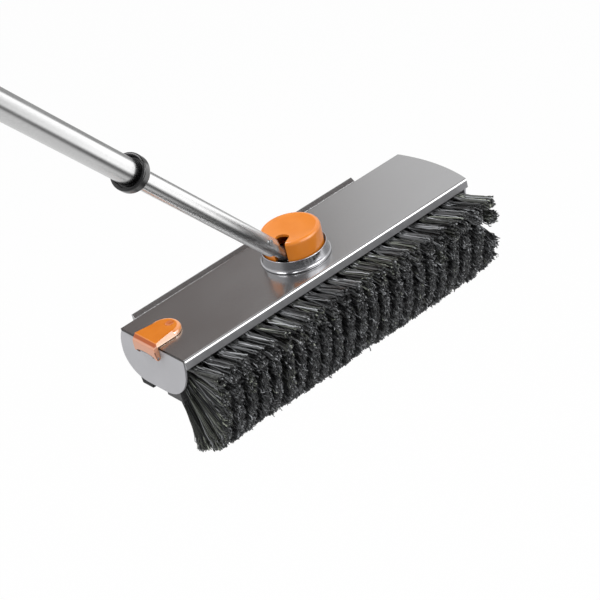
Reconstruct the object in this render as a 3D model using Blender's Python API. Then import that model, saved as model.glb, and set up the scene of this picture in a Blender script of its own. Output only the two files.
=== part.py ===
# Floor scrub brush: a folded steel head with a fan of bristles, a turning hub and a telescopic pole.
# Metres, +Z up. The origin is the hub's axis on the top of the sheet, +X runs along the head to the
# convex end and -Y is the side of the bristles.
import math

import bmesh
import bpy
from mathutils import Vector

# Fits
CLEAR = 0.0003
RUNNING_GAP = 0.0005
OVERRUN = 0.004

# Sheet cover
HEAD_LENGTH = 0.300
HEAD_WIDTH = 0.083
HUB_LEFT_OF_MIDDLE = 0.004
HUB_AHEAD_OF_MIDDLE = 0.0025
END_ARC_RISE = 0.005
SHEET = 0.0012
FOLD_RADIUS = 0.002
LIP_DROP = 0.008
ARC_STEPS = 16

# D-shaped housing profile, shared by the end plates, the block and the staves
FRONT_SETBACK = 0.003
FRONT_RUN = 0.038
HOUSING_DROP = 0.0427
BACK_BULGE = 0.007
BACK_RUN = 0.024
BACK_RISE = 0.0315
BACK_DROP = 0.020
PROFILE_STEPS = 12
END_PLATE = 0.0018

# Rear rail
REAR_RAIL_LEFT_INSET = 0.015
REAR_RAIL_RIGHT_INSET = 0.050
REAR_RAIL_DEPTH = 0.0044
REAR_RAIL_RISE = 0.0024
REAR_RAIL_TOE_RISE = 0.0002
REAR_RAIL_CREST = 0.0008
REAR_RAIL_FOOT_SHARE = 0.094
REAR_RAIL_FOOT_THICK = 0.0018

# Slide rails under the sheet, and the T ribs that run in them
RAIL_FRONT_INSET_SHARE = 0.181
RAIL_REAR_INSET_SHARE = 0.169
RAIL_WIDTH_SHARE = 0.1325
RAIL_WALL = 0.0012
RAIL_ROOM = 0.003
RAIL_SLOT = 0.0034

# Brush block
BLOCK_TOP_DROP = 0.0075
BLOCK_WALL = 0.003
BLOCK_SHOULDER_INSET = 0.006
BLOCK_FRONT_STEP_INSET = 0.009
PLUG_DEPTH = 0.005

# Staves and bristles
STAVE_DEPTH = 0.004
STAVE_EDGES_DEG = (8.5, 15.5, 24.5, 35.0, 47.0, 60.0)
STAVE_STEPS = 2
BAR_AHEAD = 0.0165
BAR_WIDTH = 0.0195
BAR_DROP = 0.0055
BAR_HEIGHT = 0.009
BAR_ROOT_AHEAD = 0.0135
TUFTS = 23
TUFT_LEFT_MARGIN = 0.0047
TUFT_RIGHT_MARGIN = 0.0092
STRANDS = 3
STRAND_SIDES = 3
STRAND_GAP = 0.0022
STRAND_SPLAY_SHARE = 1.6
STRAND_ROOT_RADIUS = 0.0012
STRAND_TIP_SHARE = 0.75
STRAND_SUNK = 0.0012
BRISTLE_LENGTH = 0.054
ROW_LENGTH_SHARES = (0.69, 0.74, 0.82, 0.93, 0.99, 0.865)
ROW_ANGLES_DEG = (-3.0, 16.0, 34.0, 49.0, 62.0, 82.0)
END_LEAN = 0.011
END_LEAN_SHARES = (1.0, 0.45, 0.15)

# Rear pad
PAD_AHEAD = 0.0035
PAD_BEHIND = 0.0135
PAD_DROP = 0.0075
PAD_SIDE_LEAN = 0.0015

# End latch and its pin
LATCH_BEHIND_MIDDLE = 0.0058
LATCH_WIDTH = 0.028
LATCH_REACH = 0.0305
LATCH_TOP = 0.0027
LATCH_FACE = 0.0024
LATCH_CORNER = 0.0026
LATCH_PIN_DROP = 0.0088
LATCH_PIN_RADIUS = 0.0009
KNUCKLE_RADIUS = 0.0019
LUG_WIDTH = 0.016
ARCH_CLEAR = 0.0004
ARCH_RISE = 0.0018
DIMPLE_REACH = 0.023
DIMPLE_RADIUS = 0.0045
DIMPLE_DEPTH = 0.0008
PIN_END_INSET = 0.0006

# Hub
RING_RADIUS = 0.0288
RING_RIM_RADIUS = 0.0268
RING_WAIST_RADIUS = 0.0272
RING_INNER_RADIUS = 0.0257
RING_HEIGHT = 0.0098
RING_LIP = 0.0012
RING_FLOOR = 0.0012
BUSH_SHARE = 0.207
BUSH_FLANGE_RIM = 0.0022
BUSH_SHOULDER = 0.0035
BUSH_WALL = 0.0032
BUSH_STANDS_UP = 0.0005
BUSH_FLANGE = 0.0025
SCREWS = 3
SCREW_RADIUS = 0.00125
SCREW_HEAD_RADIUS = 0.0022
SCREW_HEAD = 0.0012
SCREW_SLOT = 0.0006
SCREW_POINT = 0.0004
TURN_STEPS = 36
FINE_STEPS = 44
SMALL_STEPS = 24
SCREW_STEPS = 12

# Swivel inside the knob
STEM_TAIL = 0.0017
GROOVE_DEPTH = 0.0012
CIRCLIP = 0.0012
CIRCLIP_INSET = 0.0005
CIRCLIP_MOUTH = 0.006
WASHER = 0.0008
WASHER_OVERHANG = 0.0009
SWIVEL_FLANGE_RADIUS = 0.017
SWIVEL_FLANGE = 0.0015
CHEEK = 0.003
CHEEK_RADIUS = 0.0045
TILT_PIN_RADIUS = 0.002
PIVOT_OUT = 0.016
PIVOT_UP = 0.010

# Knob
KNOB_RADIUS = 0.0246
KNOB_TOP = 0.0263
KNOB_ROUND = 0.0034
KNOB_WALL = 0.0045
KNOB_ROOF = 0.0025
KNOB_SKIRT = 0.0013

# Pole, measured along its own axis from the tilt pin
POLE_AZIMUTH_DEG = -153.0
POLE_ELEVATION_DEG = 45.8
EYE_RADIUS = 0.0047
EYE_WIDTH = 0.010
NECK_RADIUS = 0.005
NECK_START = 0.002
NECK_END = 0.026
SHOULDER_END = 0.031
SPIGOT_LENGTH = 0.029
INNER_RADIUS = 0.0075
INNER_WALL = 0.0008
INNER_LENGTH = 0.609
RIVET_AT = 0.014
RIVET_RADIUS = 0.0016
RIVET_HEAD_RADIUS = 0.0026
RIVET_HEAD = 0.0008
OUTER_RADIUS = 0.0095
OUTER_WALL = 0.0006
OUTER_START = 0.2535
OUTER_LENGTH = 0.620
GUIDE_BUSH_INSET = 0.003
GUIDE_BUSH_LENGTH = 0.024
LOCK_PLUG_LENGTH = 0.020
LOCK_PLUG_HEAD = 0.008
LOCK_SPIGOT_RADIUS = 0.003
LOCK_CAM_RADIUS = 0.0065
LOCK_CAM_OFFSET = 0.0012
LOCK_CAM_LENGTH = 0.007
COLLAR_RADIUS = 0.0138
COLLAR_LENGTH = 0.0105
COLLAR_ROUND = 0.004
COLLAR_MOUTH_RADIUS = 0.0115
COLLAR_MOUTH_DEPTH = 0.004
COLLAR_END_WALL = 0.0035
COLLAR_BELOW_TUBE = 0.0055
GRIP_RADIUS = 0.013
GRIP_LENGTH = 0.120
GRIP_RIBS = 8
GRIP_GROOVE = 0.0012
CAP_RADIUS = 0.0132
CAP_LENGTH = 0.016
CAP_PLUG = 0.018

# Places that follow from the sizes above
PLATE_LEFT = HUB_LEFT_OF_MIDDLE - HEAD_LENGTH / 2
PLATE_RIGHT = HUB_LEFT_OF_MIDDLE + HEAD_LENGTH / 2
PLATE_FRONT = HUB_AHEAD_OF_MIDDLE - HEAD_WIDTH / 2
PLATE_BACK = HUB_AHEAD_OF_MIDDLE + HEAD_WIDTH / 2
PLATE_MIDDLE_Y = (PLATE_FRONT + PLATE_BACK) / 2
HOUSING_TOP = -SHEET - CLEAR
HOUSING_BOTTOM = HOUSING_TOP - HOUSING_DROP
FRONT_CENTRE_Y = PLATE_FRONT + FRONT_SETBACK + FRONT_RUN
BACK_CENTRE_Y = PLATE_BACK + BACK_BULGE - BACK_RUN
BACK_CENTRE_Z = HOUSING_BOTTOM + BACK_DROP
BLOCK_LEFT = PLATE_LEFT + END_PLATE + CLEAR
END_ARC_RADIUS = (HEAD_WIDTH * HEAD_WIDTH / 4 + END_ARC_RISE * END_ARC_RISE) / (2 * END_ARC_RISE)
END_ARC_CENTRE_X = PLATE_RIGHT + END_ARC_RISE - END_ARC_RADIUS
BULGE_OFFSET = HEAD_WIDTH / 2 + BACK_BULGE
BULGE_END_X = END_ARC_CENTRE_X + math.sqrt(END_ARC_RADIUS * END_ARC_RADIUS - BULGE_OFFSET * BULGE_OFFSET)
BLOCK_RIGHT = BULGE_END_X - END_PLATE - RUNNING_GAP
BLOCK_TOP = HOUSING_TOP - BLOCK_TOP_DROP
BLOCK_SHOULDER_Y = PLATE_BACK - BLOCK_SHOULDER_INSET
BLOCK_FRONT_STEP_Y = PLATE_FRONT + BLOCK_FRONT_STEP_INSET
RAIL_WIDTH = HEAD_WIDTH * RAIL_WIDTH_SHARE
RAIL_FRONT_Y = PLATE_FRONT + HEAD_WIDTH * RAIL_FRONT_INSET_SHARE
RAIL_REAR_Y = PLATE_BACK - HEAD_WIDTH * RAIL_REAR_INSET_SHARE
FOOT_BOTTOM = HOUSING_TOP - REAR_RAIL_FOOT_THICK
BAR_TOP = HOUSING_BOTTOM - BAR_DROP + BAR_HEIGHT
BAR_FRONT_Y = FRONT_CENTRE_Y - BAR_AHEAD
BAR_BACK_Y = BAR_FRONT_Y + BAR_WIDTH
BAR_ROOT_Y = FRONT_CENTRE_Y - BAR_ROOT_AHEAD
PAD_FRONT_Y = BACK_CENTRE_Y - PAD_AHEAD
PAD_BACK_Y = BACK_CENTRE_Y + PAD_BEHIND
LATCH_Y = PLATE_MIDDLE_Y + LATCH_BEHIND_MIDDLE
PIN_X = PLATE_LEFT - CLEAR - KNUCKLE_RADIUS
PIN_Z = -LATCH_PIN_DROP
LATCH_INNER_X = PLATE_LEFT - CLEAR
LATCH_OUTER_X = LATCH_INNER_X - LATCH_FACE
BUSH_FLANGE_RADIUS = HEAD_WIDTH * BUSH_SHARE
SCREW_CIRCLE_RADIUS = BUSH_FLANGE_RADIUS - BUSH_FLANGE_RIM
BUSH_NECK_RADIUS = SCREW_CIRCLE_RADIUS - BUSH_SHOULDER
STEM_RADIUS = BUSH_NECK_RADIUS - BUSH_WALL - CLEAR
WASHER_RADIUS = BUSH_NECK_RADIUS + WASHER_OVERHANG
CIRCLIP_RADIUS = BUSH_NECK_RADIUS - CIRCLIP_INSET
RING_BASE_TOP = CLEAR + RING_FLOOR
BUSH_TOP = RING_BASE_TOP + BUSH_STANDS_UP
BUSH_BOTTOM = HOUSING_TOP - BUSH_FLANGE
WASHER_BOTTOM = BUSH_TOP + CLEAR
FLANGE_BOTTOM = WASHER_BOTTOM + WASHER + CLEAR
FLANGE_TOP = FLANGE_BOTTOM + SWIVEL_FLANGE
CIRCLIP_TOP = BUSH_BOTTOM - CLEAR
CIRCLIP_BOTTOM = CIRCLIP_TOP - CIRCLIP
STEM_BOTTOM = CIRCLIP_BOTTOM - CLEAR - STEM_TAIL
CHEEK_INNER = EYE_WIDTH / 2 + CLEAR
CHEEK_OUTER = CHEEK_INNER + CHEEK
KNOB_BOTTOM = FLANGE_BOTTOM + RUNNING_GAP
SPIGOT_RADIUS = INNER_RADIUS - INNER_WALL - CLEAR
OUTER_BORE = OUTER_RADIUS - OUTER_WALL
OUTER_END = OUTER_START + OUTER_LENGTH
INNER_START = SHOULDER_END + CLEAR
INNER_END = INNER_START + INNER_LENGTH
COLLAR_START = OUTER_START - COLLAR_BELOW_TUBE


def clear_scene():
    for item in list(bpy.data.objects):
        bpy.data.objects.remove(item, do_unlink=True)


def material(name, colour, roughness, metallic):
    made = bpy.data.materials.new(name)
    made.use_nodes = True
    made.diffuse_color = (*colour, 1)
    shader = made.node_tree.nodes["Principled BSDF"]
    shader.inputs["Base Color"].default_value = (*colour, 1)
    shader.inputs["Roughness"].default_value = roughness
    shader.inputs["Metallic"].default_value = metallic
    return made


def axis_empty(name, location, rotation=(0, 0, 0), parent=None):
    marker = bpy.data.objects.new(name, None)
    bpy.context.scene.collection.objects.link(marker)
    marker.location = location
    marker.rotation_euler = rotation
    marker.parent = parent
    return marker


def solid(name, shape, paint, parent, at=(0, 0, 0)):
    """Turns a bmesh into a named object whose mesh is drawn about its own origin."""
    bmesh.ops.remove_doubles(shape, verts=shape.verts, dist=CLEAR / 1000)
    bmesh.ops.recalc_face_normals(shape, faces=shape.faces)
    mesh = bpy.data.meshes.new(name)
    shape.to_mesh(mesh)
    shape.free()
    mesh.shade_smooth()
    mesh.set_sharp_from_angle(angle=math.radians(35))
    made = bpy.data.objects.new(name, mesh)
    bpy.context.scene.collection.objects.link(made)
    made.parent = parent
    made.location = at
    if paint:
        mesh.materials.append(paint)
    return made


def combine(target, tool, operation):
    """Cuts, joins or intersects target with a hidden tool piece that rides on the same parent."""
    tool.hide_render = True
    tool.display_type = "WIRE"
    step = target.modifiers.new(tool.name, "BOOLEAN")
    step.operation = operation
    step.object = tool


def along(axis, first, second, distance):
    """Places a point of a flat outline, and its distance along the axis, in space."""
    if axis == "X":
        return Vector((distance, first, second))
    if axis == "Y":
        return Vector((first, distance, second))
    return Vector((first, second, distance))


def prism(outline, axis, start, end):
    shape = bmesh.new()
    near = [shape.verts.new(along(axis, first, second, start)) for first, second in outline]
    face = shape.faces.new(near)
    grown = bmesh.ops.extrude_face_region(shape, geom=[face], use_keep_orig=True)
    far = [item for item in grown["geom"] if isinstance(item, bmesh.types.BMVert)]
    bmesh.ops.translate(shape, verts=far, vec=along(axis, 0, 0, end - start))
    return shape


def turned(profile, closed=True, steps=TURN_STEPS):
    """Spins a profile of (radius, height) points round Z."""
    shape = bmesh.new()
    points = [shape.verts.new((radius, 0, height)) for radius, height in profile]
    pairs = list(zip(points, points[1:]))
    if closed:
        pairs.append((points[-1], points[0]))
    edges = [shape.edges.new(pair) for pair in pairs]
    bmesh.ops.spin(shape, geom=points + edges, cent=(0, 0, 0), axis=(0, 0, 1), dvec=(0, 0, 0),
                   angle=math.tau, steps=steps, use_merge=True)
    return shape


def arc(centre, radius, start_deg, end_deg, steps):
    angles = [math.radians(start_deg + (end_deg - start_deg) * step / steps) for step in range(steps + 1)]
    return [(centre[0] + radius * math.cos(angle), centre[1] + radius * math.sin(angle)) for angle in angles]


def rod(axis, centre, radius, start, end, steps=SMALL_STEPS):
    return prism(arc(centre, radius, 0, 360 - 360 / steps, steps - 1), axis, start, end)


def box(low, high):
    outline = [(low[0], low[1]), (high[0], low[1]), (high[0], high[1]), (low[0], high[1])]
    return prism(outline, "Z", low[2], high[2])


# Profile of the housing

def front_point(angle, inset=0):
    """A point on the front quarter ellipse. The angle runs from straight ahead to straight down."""
    return (FRONT_CENTRE_Y - (FRONT_RUN - inset) * math.cos(angle),
            HOUSING_TOP - (HOUSING_DROP - inset) * math.sin(angle))


def back_point(angle, inset=0):
    """A point on the bulging back, from straight down at minus a right angle up to the sheet."""
    height = BACK_RISE if angle > 0 else BACK_DROP
    return (BACK_CENTRE_Y + (BACK_RUN - inset) * math.cos(angle),
            BACK_CENTRE_Z + (height - inset) * math.sin(angle))


def front_curve(start, end, inset, steps=PROFILE_STEPS):
    return [front_point(start + (end - start) * step / steps, inset) for step in range(steps + 1)]


def back_curve(top, inset, steps=PROFILE_STEPS):
    start = -math.pi / 2
    end = math.asin((top - BACK_CENTRE_Z) / (BACK_RISE - inset))
    return [back_point(start + (end - start) * step / steps, inset) for step in range(steps + 1)]


def housing_outline(top, front_inset=0, back_inset=0):
    start = math.asin((HOUSING_TOP - top) / (HOUSING_DROP - front_inset))
    return front_curve(start, math.pi / 2, front_inset) + back_curve(top, back_inset)


def end_arc_x(y):
    """The convex end of the plan: a circle through both corners and the rise in the middle."""
    offset = y - PLATE_MIDDLE_Y
    return END_ARC_CENTRE_X + math.sqrt(END_ARC_RADIUS * END_ARC_RADIUS - offset * offset)


def end_arc(front, back, inset=0):
    places = [front + (back - front) * step / ARC_STEPS for step in range(ARC_STEPS + 1)]
    return [(end_arc_x(y) - inset, y) for y in places]


# Head

def make_cover(paint, parent):
    fold = FOLD_RADIUS - SHEET
    turn = (PLATE_FRONT + FOLD_RADIUS, -FOLD_RADIUS)
    outline = [(PLATE_BACK, 0)]
    outline += arc(turn, FOLD_RADIUS, 90, 180, 6)
    outline += [(PLATE_FRONT, -LIP_DROP), (PLATE_FRONT + SHEET, -LIP_DROP)]
    outline += arc(turn, fold, 180, 90, 4)
    outline += [(PLATE_BACK, -SHEET)]
    cover = solid("cover", prism(outline, "X", PLATE_LEFT, PLATE_RIGHT + END_ARC_RISE + OVERRUN), paint, parent)
    plan = [(PLATE_LEFT - OVERRUN, PLATE_FRONT - OVERRUN)]
    plan += end_arc(PLATE_FRONT - OVERRUN, PLATE_BACK + OVERRUN)
    plan += [(PLATE_LEFT - OVERRUN, PLATE_BACK + OVERRUN)]
    trim = solid("cover_plan", prism(plan, "Z", -LIP_DROP - OVERRUN, OVERRUN), None, parent)
    combine(cover, trim, "INTERSECT")
    hole = rod("Z", (0, 0), BUSH_NECK_RADIUS + CLEAR, -SHEET - OVERRUN, OVERRUN, TURN_STEPS)
    combine(cover, solid("cover_hub_hole", hole, None, parent), "DIFFERENCE")
    bore_for_screws(cover, -SHEET - OVERRUN, OVERRUN, parent)
    return cover


def make_right_end_plate(paint, parent):
    back = PLATE_BACK + BACK_BULGE + OVERRUN
    plate = prism(housing_outline(HOUSING_TOP), "X", PLATE_LEFT, PLATE_RIGHT + END_ARC_RISE + OVERRUN)
    plate = solid("right_end_plate", plate, paint, parent)
    band = end_arc(PLATE_FRONT, back) + end_arc(PLATE_FRONT, back, END_PLATE)[::-1]
    trim = prism(band, "Z", HOUSING_BOTTOM - OVERRUN, OVERRUN)
    combine(plate, solid("right_end_band", trim, None, parent), "INTERSECT")


def make_rear_rail(paint, parent):
    inner = PLATE_BACK + CLEAR
    outer = inner + REAR_RAIL_DEPTH
    toe = inner - HEAD_WIDTH * REAR_RAIL_FOOT_SHARE
    outline = [(outer, REAR_RAIL_RISE), (outer - REAR_RAIL_CREST, REAR_RAIL_RISE), (inner, REAR_RAIL_TOE_RISE),
               (inner, HOUSING_TOP), (toe, HOUSING_TOP), (toe, FOOT_BOTTOM), (outer, FOOT_BOTTOM)]
    left = PLATE_LEFT + REAR_RAIL_LEFT_INSET
    right = PLATE_RIGHT - REAR_RAIL_RIGHT_INSET
    solid("rear_rail", prism(outline, "X", left, right), paint, parent)


def make_slide_rail(name, middle, paint, parent):
    """A channel open downwards, whose two lips carry the block's T rib."""
    half = RAIL_WIDTH / 2
    room = half - RAIL_WALL
    slot = RAIL_SLOT / 2
    roof = HOUSING_TOP - RAIL_WALL
    lip_top = roof - RAIL_ROOM
    lip_bottom = lip_top - RAIL_WALL
    right_half = [(0, HOUSING_TOP), (half, HOUSING_TOP), (half, lip_bottom), (slot, lip_bottom),
                  (slot, lip_top), (room, lip_top), (room, roof), (0, roof)]
    left_half = [(-across, height) for across, height in right_half[1:-1]][::-1]
    outline = [(middle + across, height) for across, height in right_half + left_half if across]
    left = BLOCK_LEFT + CLEAR
    solid(name, prism(outline, "X", left, BLOCK_RIGHT), paint, parent)


def screw_places():
    angles = [math.tau * index / SCREWS + math.pi / 6 for index in range(SCREWS)]
    return [(SCREW_CIRCLE_RADIUS * math.cos(angle), SCREW_CIRCLE_RADIUS * math.sin(angle)) for angle in angles]


def bore_for_screws(target, bottom, top, parent):
    for index, place in enumerate(screw_places()):
        drill = rod("Z", place, SCREW_RADIUS + CLEAR, bottom, top, SCREW_STEPS)
        drill = solid(f"{target.name}_screw_hole_{index + 1}", drill, None, parent)
        combine(target, drill, "DIFFERENCE")


def make_hub_ring(paint, parent):
    lip_top = CLEAR + RING_LIP
    rim = CLEAR + RING_HEIGHT
    wall = RING_RIM_RADIUS - RING_INNER_RADIUS
    profile = [(BUSH_NECK_RADIUS + CLEAR, CLEAR), (RING_RADIUS, CLEAR), (RING_RADIUS, lip_top - RING_LIP / 3),
               (RING_RADIUS - RING_LIP / 3, lip_top), (RING_WAIST_RADIUS + wall / 2, lip_top + RING_LIP / 2),
               (RING_WAIST_RADIUS, lip_top + 2 * RING_LIP), (RING_RIM_RADIUS, rim - RING_LIP / 2)]
    profile += arc((RING_RIM_RADIUS - wall / 2, rim - wall / 2), wall / 2, 0, 180, 6)
    profile += [(RING_INNER_RADIUS, RING_BASE_TOP), (BUSH_NECK_RADIUS + CLEAR, RING_BASE_TOP)]
    ring = solid("hub_ring", turned(profile, True, FINE_STEPS), paint, parent)
    bore_for_screws(ring, -OVERRUN, RING_BASE_TOP + OVERRUN, parent)


def make_hub_bush(paint, parent):
    bore = STEM_RADIUS + CLEAR
    profile = [(bore, BUSH_BOTTOM), (BUSH_FLANGE_RADIUS, BUSH_BOTTOM), (BUSH_FLANGE_RADIUS, HOUSING_TOP),
               (BUSH_NECK_RADIUS, HOUSING_TOP), (BUSH_NECK_RADIUS, BUSH_TOP), (bore, BUSH_TOP)]
    bush = solid("hub_bush", turned(profile), paint, parent)
    bore_for_screws(bush, BUSH_BOTTOM - OVERRUN, 0, parent)


def make_hub_screws(paint, parent):
    for index, (x, y) in enumerate(screw_places()):
        seat = RING_BASE_TOP + CLEAR
        top = seat + SCREW_HEAD
        end = BUSH_BOTTOM + SCREW_POINT
        profile = [(0, end), (SCREW_RADIUS - SCREW_POINT, end), (SCREW_RADIUS, end + SCREW_POINT),
                   (SCREW_RADIUS, seat), (SCREW_HEAD_RADIUS, seat), (SCREW_HEAD_RADIUS, top - SCREW_POINT),
                   (SCREW_HEAD_RADIUS - SCREW_POINT, top), (0, top)]
        name = f"hub_screw_{index + 1}"
        screw = solid(name, turned(profile, False, SCREW_STEPS), paint, parent, (x, y, 0))
        half = SCREW_SLOT / 2
        slot = box((-SCREW_HEAD_RADIUS - OVERRUN, -half, top - SCREW_SLOT), (SCREW_HEAD_RADIUS + OVERRUN, half, top + OVERRUN))
        combine(screw, solid(f"{name}_slot", slot, None, parent, (x, y, 0)), "DIFFERENCE")


# Cartridge that slides out of the head

def t_rib(middle):
    """The points of a T rib on the block's top, from its back foot to its front foot."""
    neck = RAIL_SLOT / 2 - CLEAR
    head = RAIL_WIDTH / 2 - RAIL_WALL - 2 * CLEAR
    top = HOUSING_TOP - RAIL_WALL - CLEAR
    under = HOUSING_TOP - RAIL_WALL - RAIL_ROOM + CLEAR
    half = [(neck, BLOCK_TOP), (neck, under), (head, under), (head, top)]
    other = [(-across, height) for across, height in half[::-1]]
    return [(middle + across, height) for across, height in half + other]


def block_outline():
    inset = STAVE_DEPTH + CLEAR
    first = math.radians(STAVE_EDGES_DEG[0])
    last = math.radians(STAVE_EDGES_DEG[-1])
    seat = BAR_TOP + CLEAR
    outline = front_curve(first, last, inset)
    outline += [(outline[-1][0], seat), (BAR_BACK_Y + CLEAR, seat), (BAR_BACK_Y + CLEAR, HOUSING_BOTTOM)]
    shoulder = FOOT_BOTTOM - 2 * CLEAR
    outline += back_curve(shoulder, 0)
    outline += [(BLOCK_SHOULDER_Y, shoulder), (BLOCK_SHOULDER_Y, BLOCK_TOP)]
    outline += t_rib(RAIL_REAR_Y) + t_rib(RAIL_FRONT_Y)
    outline += [(BLOCK_FRONT_STEP_Y, BLOCK_TOP), (BLOCK_FRONT_STEP_Y, outline[0][1])]
    return outline


def cavity_outline(gap=0):
    front = STAVE_DEPTH + CLEAR + BLOCK_WALL + gap
    return housing_outline(BLOCK_TOP - BLOCK_WALL - gap, front, BLOCK_WALL + gap)


def make_block(paint, parent):
    block = solid("brush_block", prism(block_outline(), "X", BLOCK_LEFT, BLOCK_RIGHT), paint, parent)
    hollow = prism(cavity_outline(), "X", BLOCK_LEFT - OVERRUN, BLOCK_RIGHT + OVERRUN)
    combine(block, solid("block_hollow", hollow, None, parent), "DIFFERENCE")


def make_left_end_plate(paint, parent):
    plate = prism(housing_outline(HOUSING_TOP), "X", PLATE_LEFT, PLATE_LEFT + END_PLATE)
    plate = solid("left_end_plate", plate, paint, parent)
    plug = prism(cavity_outline(CLEAR), "X", PLATE_LEFT + END_PLATE / 2, BLOCK_LEFT + PLUG_DEPTH)
    combine(plate, solid("end_plug", plug, None, parent), "UNION")
    lug = [(PLATE_LEFT + END_PLATE / 2, PIN_Z - KNUCKLE_RADIUS), (PLATE_LEFT + END_PLATE / 2, PIN_Z + KNUCKLE_RADIUS)]
    lug += arc((PIN_X, PIN_Z), KNUCKLE_RADIUS, 90, 270, 10)
    lug = prism(lug, "Y", LATCH_Y - LUG_WIDTH / 2, LATCH_Y + LUG_WIDTH / 2)
    combine(plate, solid("latch_lug", lug, None, parent), "UNION")
    bore = rod("Y", (PIN_X, PIN_Z), LATCH_PIN_RADIUS + CLEAR, LATCH_Y - LUG_WIDTH, LATCH_Y + LUG_WIDTH, SCREW_STEPS)
    combine(plate, solid("lug_bore", bore, None, parent), "DIFFERENCE")


def make_latch_pin(paint, parent):
    half = LATCH_WIDTH / 2 - PIN_END_INSET
    pin = rod("Y", (PIN_X, PIN_Z), LATCH_PIN_RADIUS, LATCH_Y - half, LATCH_Y + half, SCREW_STEPS)
    solid("latch_pin", pin, paint, parent)


def make_rear_pad(paint, parent):
    bottom = HOUSING_BOTTOM - PAD_DROP
    start = math.acos((PAD_BACK_Y - BACK_CENTRE_Y) / BACK_RUN)
    steps = PROFILE_STEPS // 2
    angles = [-start - (math.pi / 2 - start) * step / steps for step in range(steps + 1)]
    under = [(y, z - CLEAR) for y, z in (back_point(angle) for angle in angles)]
    outline = under + [(PAD_FRONT_Y, HOUSING_BOTTOM - CLEAR), (PAD_FRONT_Y + PAD_SIDE_LEAN, bottom),
                       (PAD_BACK_Y - PAD_SIDE_LEAN, bottom)]
    solid("rear_pad", prism(outline, "X", BLOCK_LEFT, BLOCK_RIGHT), paint, parent)


def tuft_places():
    """The x of each tuft's middle, and how far its tips lean along x."""
    first = BLOCK_LEFT + TUFT_LEFT_MARGIN
    step = (BLOCK_RIGHT - TUFT_RIGHT_MARGIN - first) / (TUFTS - 1)
    leans = [0] * (TUFTS - len(END_LEAN_SHARES)) + [END_LEAN * share for share in END_LEAN_SHARES[::-1]]
    return [(first + step * index, lean) for index, lean in enumerate(leans)]


def add_strand(shape, root, tip):
    """A tapering strand of few sides, open to nothing: both its ends are closed."""
    direction = (tip - root).normalized()
    side = Vector((1, 0, 0)).cross(direction).normalized()
    across = direction.cross(side)
    ends = []
    for middle, radius in ((root, STRAND_ROOT_RADIUS), (tip, STRAND_ROOT_RADIUS * STRAND_TIP_SHARE)):
        turns = [math.tau * index / STRAND_SIDES for index in range(STRAND_SIDES)]
        ends.append([shape.verts.new(middle + side * (radius * math.cos(turn)) + across * (radius * math.sin(turn)))
                     for turn in turns])
    near, far = ends
    shape.faces.new(near[::-1])
    shape.faces.new(far)
    for index in range(STRAND_SIDES):
        following = (index + 1) % STRAND_SIDES
        shape.faces.new((near[index], near[following], far[following], far[index]))


def make_row(number, slice_outline, root, paint, parent):
    """One row of tufts, fused to its own slice of backing."""
    angle = math.radians(ROW_ANGLES_DEG[number])
    length = BRISTLE_LENGTH * ROW_LENGTH_SHARES[number]
    out = Vector((0, -math.cos(angle), -math.sin(angle)))
    strands = bmesh.new()
    for x, lean in tuft_places():
        for index in range(STRANDS):
            offset = STRAND_GAP * (index - (STRANDS - 1) / 2)
            base = Vector((x + offset, root[0], root[1]))
            tip = base + out * length
            tip.x = x + offset * STRAND_SPLAY_SHARE + lean
            add_strand(strands, base - out * STRAND_SUNK, tip)
    name = f"bristle_row_{number + 1}"
    row = solid(name, prism(slice_outline, "X", BLOCK_LEFT, BLOCK_RIGHT), paint, parent)
    combine(row, solid(f"{name}_strands", strands, paint, parent), "UNION")


def make_rows(paint, parent):
    for number, (start_deg, end_deg) in enumerate(zip(STAVE_EDGES_DEG, STAVE_EDGES_DEG[1:])):
        gap = CLEAR / FRONT_RUN
        start = math.radians(start_deg) + gap
        end = math.radians(end_deg) - gap
        outer = front_curve(start, end, 0, STAVE_STEPS)
        inner = front_curve(start, end, STAVE_DEPTH, STAVE_STEPS)
        make_row(number, outer + inner[::-1], outer[STAVE_STEPS // 2], paint, parent)
    bottom = HOUSING_BOTTOM - BAR_DROP
    bar = [(BAR_FRONT_Y, BAR_TOP), (BAR_FRONT_Y, bottom), (BAR_BACK_Y, bottom), (BAR_BACK_Y, BAR_TOP)]
    make_row(len(STAVE_EDGES_DEG) - 1, bar, (BAR_ROOT_Y, bottom), paint, parent)


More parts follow.
